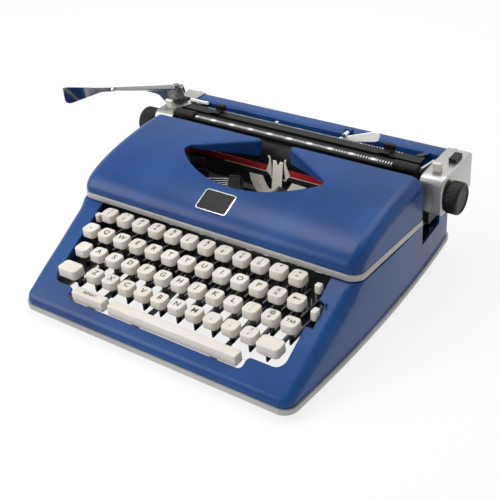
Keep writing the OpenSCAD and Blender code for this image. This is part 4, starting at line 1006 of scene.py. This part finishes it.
class TYPEWRITER_OT_covers(bpy.types.Operator):
    """Silver end covers of the carriage, with rounded outer edges"""
    bl_idname = "typewriter.covers"
    bl_label = "End covers"

    def execute(self, context):
        arc = np.linspace(0, np.pi / 2, 6)
        xs = np.append(COVER_IN, COVER_OUT - COVER_EDGE + COVER_EDGE * np.sin(arc))
        insets = np.append(0.0, COVER_EDGE * (1 - np.cos(arc)))
        for tag, s in (("right", 1), ("left", -1)):
            rings = [xyz(s * x, *cover_ring(i).T) for x, i in zip(xs, insets)]
            piece("end_cover_" + tag, [closed(np.array(rings))], "silver", "carriage", ("end_covers",), 35)
        # Cream tab levers that stand out of the covers and lean forward
        lean = np.array(Matrix.Rotation(math.radians(16), 3, "X"))
        for name, s in (("paper_release_lever", 1), ("line_space_lever", -1)):
            verts, tris = rounded_box((s * 148.0, -1.8, 0), (s * 156.6, 1.8, 17.5), 1.0)
            stem = plate([(110.6, 88.8), (113.4, 91.2), (102.2, 101.0), (100.0, 98.6)], s * 150.3, s * 154.3)
            piece(name + "_tab", [(verts @ lean.T + [0, 100.4, 97.4], tris), stem], "cream", name, (name,), 40)
        return {"FINISHED"}


class TYPEWRITER_OT_return_lever(bpy.types.Operator):
    """Carriage return lever: a plated blade that lies flat at its bracket and turns upright to a broad tip"""
    bl_idname = "typewriter.return_lever"
    bl_label = "Return lever"

    def execute(self, context):
        # Length from the hub, width of the blade, and its turn from flat to upright in degrees
        table = np.array([(-7, 10, 0), (10, 10, 0), (32, 8.6, 0), (54, 6.2, 3), (66, 4.6, 8), (68, 4.4, 12),
                          (72, 4.0, 56), (83, 4.8, 66), (94, 9.2, 78), (106, 14.2, 88), (115, 18.4, 93),
                          (118, 19.2, 93), (120.5, 18.4, 93), (121.6, 16.2, 93)])
        at = np.linspace(table[0, 0], table[-1, 0], 140)
        width, turn = (np.convolve(np.pad(np.interp(at, table[:, 0], column), 4, mode="edge"), np.ones(9) / 9, "valid")
                       for column in table[:, 1:].T)
        width[-4:] -= [0.3, 0.8, 1.6, 3.2]
        level, fall = width * np.cos(np.radians(turn)), width * np.sin(np.radians(turn))
        # In plan the blade bows back a little and its tip turns towards the typist
        heading = np.radians(208.5 + 30 * np.clip((at - 60) / 50, 0, 1))
        ahead = np.stack([np.cos(heading), np.sin(heading)], 1)
        near = ahead[:, ::-1] * [-1, 1]
        step = np.gradient(at)[:, None] * ahead
        line = LEVER_HUB + np.cumsum(step, 0) - step[0] + table[0, 0] * ahead[0]
        # Its height follows the photo, in which it looks level: it rises towards the camera
        toward = (line - LEVER_HUB) @ np.array([0.5388, -0.8425])
        top = 123.4 + 0.02 * at + np.interp(toward, [-6, 0, 8], [-4.2, 0, 4.0]) - 0.35 * level
        edge = np.column_stack([line - near * level[:, None] / 2, top])
        across = np.column_stack([near * level[:, None], -fall])
        normal = np.cross(np.gradient(edge, axis=0), across)
        normal /= np.linalg.norm(normal, axis=1, keepdims=True)
        blade = sheet(edge[:, None] + across[:, None] * np.linspace(0, 1, 9)[:, None], normal[:, None] * 1.5)
        hub = (*LEVER_HUB, 0)
        cap = turned([(119.5, 0), (119.5, 4.2), (122.2, 4.2), (122.9, 3.5), (122.9, 0)], hub, 32, "Z")
        piece("return_lever_blade", [blade, cap], "chrome", "return_lever", ("return_lever",), 40)
        # Bracket of bent sheet: two upright cheeks and a sleeve under the blade, with a screw in the near cheek
        a = math.radians(212.6)
        ahead, near = np.array([math.cos(a), math.sin(a)]), np.array([-math.sin(a), math.cos(a)])
        cheek = np.array([(12, 105.2), (15, 110), (18, 114.5), (23, 117.2), (31, 119.4), (-7, 119.6), (-8.5, 113),
                          (-5, 105.2)])
        parts = [closed(np.array([np.column_stack([LEVER_HUB + cheek[:, :1] * ahead + near * (side + t), cheek[:, 1]])
                                  for t in (-0.7, 0.7)])) for side in (-5.2, 5.2)]
        parts.append(turned(tube(107.4, 119, 4.2, 4.9), hub, 32, "Z"))
        verts, tris = turned([(0, 0), (0, 2.8), (1.0, 2.6), (1.4, 1.8), (1.4, 0)], (5.8, 1.5, 113.2), 24)
        parts.append((np.column_stack([LEVER_HUB + near * verts[:, :1] + ahead * verts[:, 1:2], verts[:, 2]]), tris))
        piece("return_lever_bracket", parts, "steel", "return_lever", ("return_lever",), 35)
        return {"FINISHED"}


def on_hood(x, s, lift):
    """Points on the hood at X = x and an arc length s up the slope from the badge's middle, raised by lift
    along the surface's normal."""
    middle = math.acos((HOOD_BACK_Y - BADGE_Y) / HOOD_DEPTH)
    psi = middle + s / math.hypot(HOOD_DEPTH * math.sin(middle), HOOD_RISE * math.cos(middle))
    n = xyz(0, -np.cos(psi) / HOOD_DEPTH, np.sin(psi) / HOOD_RISE)
    return hood_point(x, 0.0, psi) + n / np.linalg.norm(n, axis=-1, keepdims=True) * lift


class TYPEWRITER_OT_badge(bpy.types.Operator):
    """Bare badge plate on the hood's front, black in a silver border"""
    bl_idname = "typewriter.badge"
    bl_label = "Badge plate"

    def execute(self, context):
        for name, half_w, half_l, r, low, high, finish, slot in (
                ("badge_border", 17.0, 11.6, 3.0, 0.05, 0.75, "polished", "chrome"),
                ("badge_plate", 15.8, 10.4, 2.2, 0.1, 0.95, "black", "black_plastic")):
            x, s = round_rect(half_w, half_l, r).T
            rows = [on_hood(x * scale + BADGE_X, s * scale, lift) for scale, lift in (
                (0.0, low), (1.0, low), (1.0, high - 0.25), (0.985, high), (0.8, high), (0.4, high), (0.0, high))]
            piece(name, [grid(np.array(rows), wrap=True)], finish, "hood", slot=slot)
        return {"FINISHED"}


class TYPEWRITER_OT_paper(bpy.types.Operator):
    """Paper table, paper support and paper guide"""
    bl_idname = "typewriter.paper"
    bl_label = "Paper table and support"

    def execute(self, context):
        # Table: a bent sheet with an upright front, a round edge, a flat top and the carriage's back wall
        profile = np.vstack([(126.0, 86.0), bend(131.4, 100.8, 2.7, 170, 90, 7), bend(142.0, 100.5, 3.0, 90, 0, 7),
                             (145.0, 69.0)])
        normal = left_of(profile)
        middle = xyz(np.linspace(-149.8, 149.8, 9)[:, None], *(profile - normal).T)
        parts = [sheet(middle, xyz(0, *normal.T) * 2.0), box((42, 125.2, 100), (50, 129, 110)),
                 turned(tube(-5, 5, 0, 1.4), SUPPORT_PIN, 16, "Y")]
        parts += [box((124 * s, 110.5, 101), (130 * s, 131, 103)) for s in (-1, 1)]
        piece("paper_table_sheet", parts, "blue", "carriage", ("paper_table",), 35)
        # Support: a flat arm on edge that widens to a round end, rising to the right
        reach, rise = np.linspace(-4, 42, 60)[:, None], math.radians(16)
        end = np.sqrt(np.clip(1 - (np.clip(reach - 37.6, 0, 9) / 4.45) ** 2, 0.02, 1))
        up = np.interp(reach, [-4, 0, 8, 34], [1.2, 1.8, 2.4, 4.2]) * end * np.linspace(-1, 1, 5)
        flat = xyz(43.5 + reach * math.cos(rise) - up * math.sin(rise), 118.2 + 0.25 * up,
                   102.8 + reach * math.sin(rise) + up * math.cos(rise))
        sleeve = turned(tube(-3.4, 3.8, 1.5, 2.0), SUPPORT_PIN, 24, "Y")
        piece("paper_support_arm", [sheet(flat, (0, 1.8, 0)), sleeve], "white", "paper_support", ("paper_support",), 40)
        # Guide at the left end: an upright with a low arm along the platen and a foot to the table
        guide = [box((-141.5, 113.7, low), hi) for low, hi in (
            (98, (-138.5, 115.7, 110.8)), (108.4, (-115, 115.7, 110.8)), (98, (-138.5, 127, 101)))]
        piece("paper_guide", guide, "white", "carriage")
        return {"FINISHED"}


class TYPEWRITER_OT_scales(bpy.types.Operator):
    """Margin stops, and the white graduations of margin rail and paper bail"""
    bl_idname = "typewriter.scales"
    bl_label = "Stops and scales"

    def execute(self, context):
        r = math.radians(101.3)
        up, fore = np.array([math.cos(r), math.sin(r)]), np.array([-math.sin(r), math.cos(r)])
        ticks, dots = [], []
        for k in range(-TICKS, TICKS + 1):
            x, place = k * TICK_PITCH, k % 8
            half, long = (1.43, 1.6) if place < 2 else (0.55, 1.5)
            a, b = (BAIL_BAR + up * 1.7 + fore * (0.4 + t) for t in (long, -long))
            ticks.append(plate([a, b, b + up * 0.15, a + up * 0.15], x - half, x + half))
            half = 0.38 if place else 0.8
            dots.append(box((x - half, 109.3, 107.4), (x + half, 110.7, 107.65)))
        dots.append(box((-29.0, 110.5, 107.4), (-26.0, 113.0, 108.6)))
        # Rollers of the bail, and a polished strip on the upper edge of each of its two black arms: a painted highlight
        # where light catches it
        front, back, side = np.array(BAIL_BAR), np.array([116.6, 100.5]), np.array([0.1699, 0.9855])
        outline = [front + 3 * side, back + 3 * side, back + 3.4 * side, front + 3.4 * side]
        edges = [plate(outline, 139.0 * s, 141.0 * s) for s in (-1, 1)]
        ends = np.array([(113, 0), (113, 3.6), (114, 4.4), (137, 4.4), (138, 3.6), (138, 0)])
        rollers = [turned(ends * [s, 1], (0, 89.8, 106.4), 32) for s in (-1, 1)]
        piece("paper_bail_arm_highlights", edges, "polished", "paper_bail")
        piece("paper_bail_rollers", rollers, "rubber", "paper_bail", (), 35)
        piece("paper_bail_scale", ticks, "print", "paper_bail")
        piece("margin_rail_scale", dots, "print", "carriage")
        for name, x in (("margin_stop_left", -96.0), ("margin_stop_right", 98.0)):
            saddle = [box((x - 4.5, y0, z0), (x + 4.5, y1, 109.0))
                      for y0, y1, z0 in ((98.2, 99.6, 103.5), (98.2, 113.2, 107.9), (111.4, 113.2, 103.5))]
            saddle.append(rounded_box((x - 5.5, 109.2, 108.6), (x + 5.5, 113.4, 113.4), 0.8))
            piece(name + "_block", saddle, "black", name, (name,), 35)
        return {"FINISHED"}


def seen_rays(tree):
    """Two sockets: 1 for camera rays, and 1 for all rays in which surroundings are seen, also by mirrors or glass."""
    path = node(tree, "LightPath").outputs
    camera = path["Is Camera Ray"]
    mirror = maths(tree, "MAXIMUM", path["Is Glossy Ray"], path["Is Transmission Ray"])
    return camera, maths(tree, "MAXIMUM", camera, mirror)


class TYPEWRITER_OT_stage(bpy.types.Operator):
    """Pale floor, white surroundings, soft studio lights and the camera"""
    bl_idname = "typewriter.stage"
    bl_label = "Stage"

    def execute(self, context):
        scene = context.scene
        scene.view_settings.view_transform = "Standard"
        white = linear("FFFFFF")
        # White paper: the camera and mirrors see it mostly as a white glow, so the shadow on it stays pale
        material = bpy.data.materials.new("floor_white_paper")
        tree = emptied(material)
        _, seen = seen_rays(tree)
        paper = node(tree, "BsdfDiffuse", {"Color": linear("F6F6F6")})
        glow = node(tree, "Emission", {"Color": white, "Strength": 1.0})
        share = maths(tree, "MULTIPLY", seen, 0.82)
        mix = node(tree, "MixShader", {0: share, 1: paper.outputs[0], 2: glow.outputs[0]})
        node(tree, "OutputMaterial", {"Surface": mix.outputs[0]})
        mesh = bpy.data.meshes.new("floor")
        reach = FLOOR_HALF * MM
        mesh.from_pydata([(-reach, -reach, 0), (reach, -reach, 0), (reach, reach, 0), (-reach, reach, 0)], [],
                         [(0, 1, 2, 3)])
        mesh.materials.append(material)
        floor = add("floor", mesh)
        # White room: it lights the pieces weakly, and mirrors see its ceiling and its front darker
        scene.world = bpy.data.worlds.new("studio")
        tree = emptied(scene.world)
        camera, seen = seen_rays(tree)
        way = node(tree, "SeparateXYZ", {"Vector": node(tree, "TexCoord").outputs["Generated"]}).outputs
        dim = maths(tree, "MULTIPLY", ramp_to(tree, way["Z"], 0.55, 0.85, 1.0, 0.3),
                    ramp_to(tree, way["Y"], -0.75, -0.35, 0.4, 1.0))
        glow = node(tree, "Background", {"Color": white, "Strength": 0.40})
        room = node(tree, "Background", {"Color": white, "Strength": maths(tree, "MAXIMUM", dim, camera)})
        mix = node(tree, "MixShader", {0: seen, 1: glow.outputs[0], 2: room.outputs[0]})
        node(tree, "OutputWorld", {"Surface": mix.outputs[0]})
        # Lights stand in metres from the frame's origin; the hood's light gives the highlight along its front
        for name, at, width, length, power in (("key_light", (-1.2, -1.0, 1.0), 1.2, 1.2, 18.5),
                                               ("top_light", (0.1, 0.9, 1.7), 1.2, 1.2, 13.0),
                                               ("hood_light", (-0.28, 0.0, 0.97), 0.4, 0.5, 3.4)):
            lamp = bpy.data.lights.new(name, "AREA")
            lamp.shape = "RECTANGLE"
            lamp.size = width
            lamp.size_y = length
            lamp.energy = power
            obj = add(name, lamp)
            obj.location = at
            obj.rotation_euler = (Vector((0, 0, 0.06)) - Vector(at)).to_track_quat("-Z", "Y").to_euler()
        lens = bpy.data.cameras.new("photo_view")
        lens.lens = 65.7
        lens.sensor_width = 36
        lens.clip_end = 20
        right, up = Vector((0.81975, 0.56788, -0.07433)), Vector((-0.2660, 0.4924, 0.8287))
        turn = Matrix((right, up, right.cross(up))).transposed().to_4x4()
        scene.camera = add("photo_view", lens)
        scene.camera.matrix_world = Matrix.Translation(Vector((445.1 - MIDDLE_X, -565.1, 508.4)) * MM) @ turn
        return {"FINISHED"}


STEPS = (TYPEWRITER_OT_finishes, TYPEWRITER_OT_stage, TYPEWRITER_OT_casing, TYPEWRITER_OT_hood, TYPEWRITER_OT_trim,
         TYPEWRITER_OT_keys, TYPEWRITER_OT_bars, TYPEWRITER_OT_tabs, TYPEWRITER_OT_basket, TYPEWRITER_OT_knobs,
         TYPEWRITER_OT_covers, TYPEWRITER_OT_return_lever, TYPEWRITER_OT_badge, TYPEWRITER_OT_paper,
         TYPEWRITER_OT_scales)


class TYPEWRITER_PT_panel(bpy.types.Panel):
    """Lists the look's values and the steps that make the pieces"""
    bl_idname = "TYPEWRITER_PT_panel"
    bl_label = "Typewriter"
    bl_space_type = "VIEW_3D"
    bl_region_type = "UI"
    bl_category = "Typewriter"

    def draw(self, context):
        look = context.scene.typewriter_look
        for name in TypewriterLook.__annotations__:
            self.layout.prop(look, name)
        for step in STEPS:
            self.layout.operator(step.bl_idname)


CLASSES = (TypewriterLook,) + STEPS + (TYPEWRITER_PT_panel,)


def register():
    for cls in CLASSES:
        bpy.utils.register_class(cls)
    bpy.types.Scene.typewriter_look = bpy.props.PointerProperty(type=TypewriterLook)


def unregister():
    del bpy.types.Scene.typewriter_look
    for cls in reversed(CLASSES):
        bpy.utils.unregister_class(cls)


def main():
    register()
    for step in STEPS:
        group, name = step.bl_idname.split(".")
        getattr(getattr(bpy.ops, group), name)()


if __name__ == "__main__":
    main()
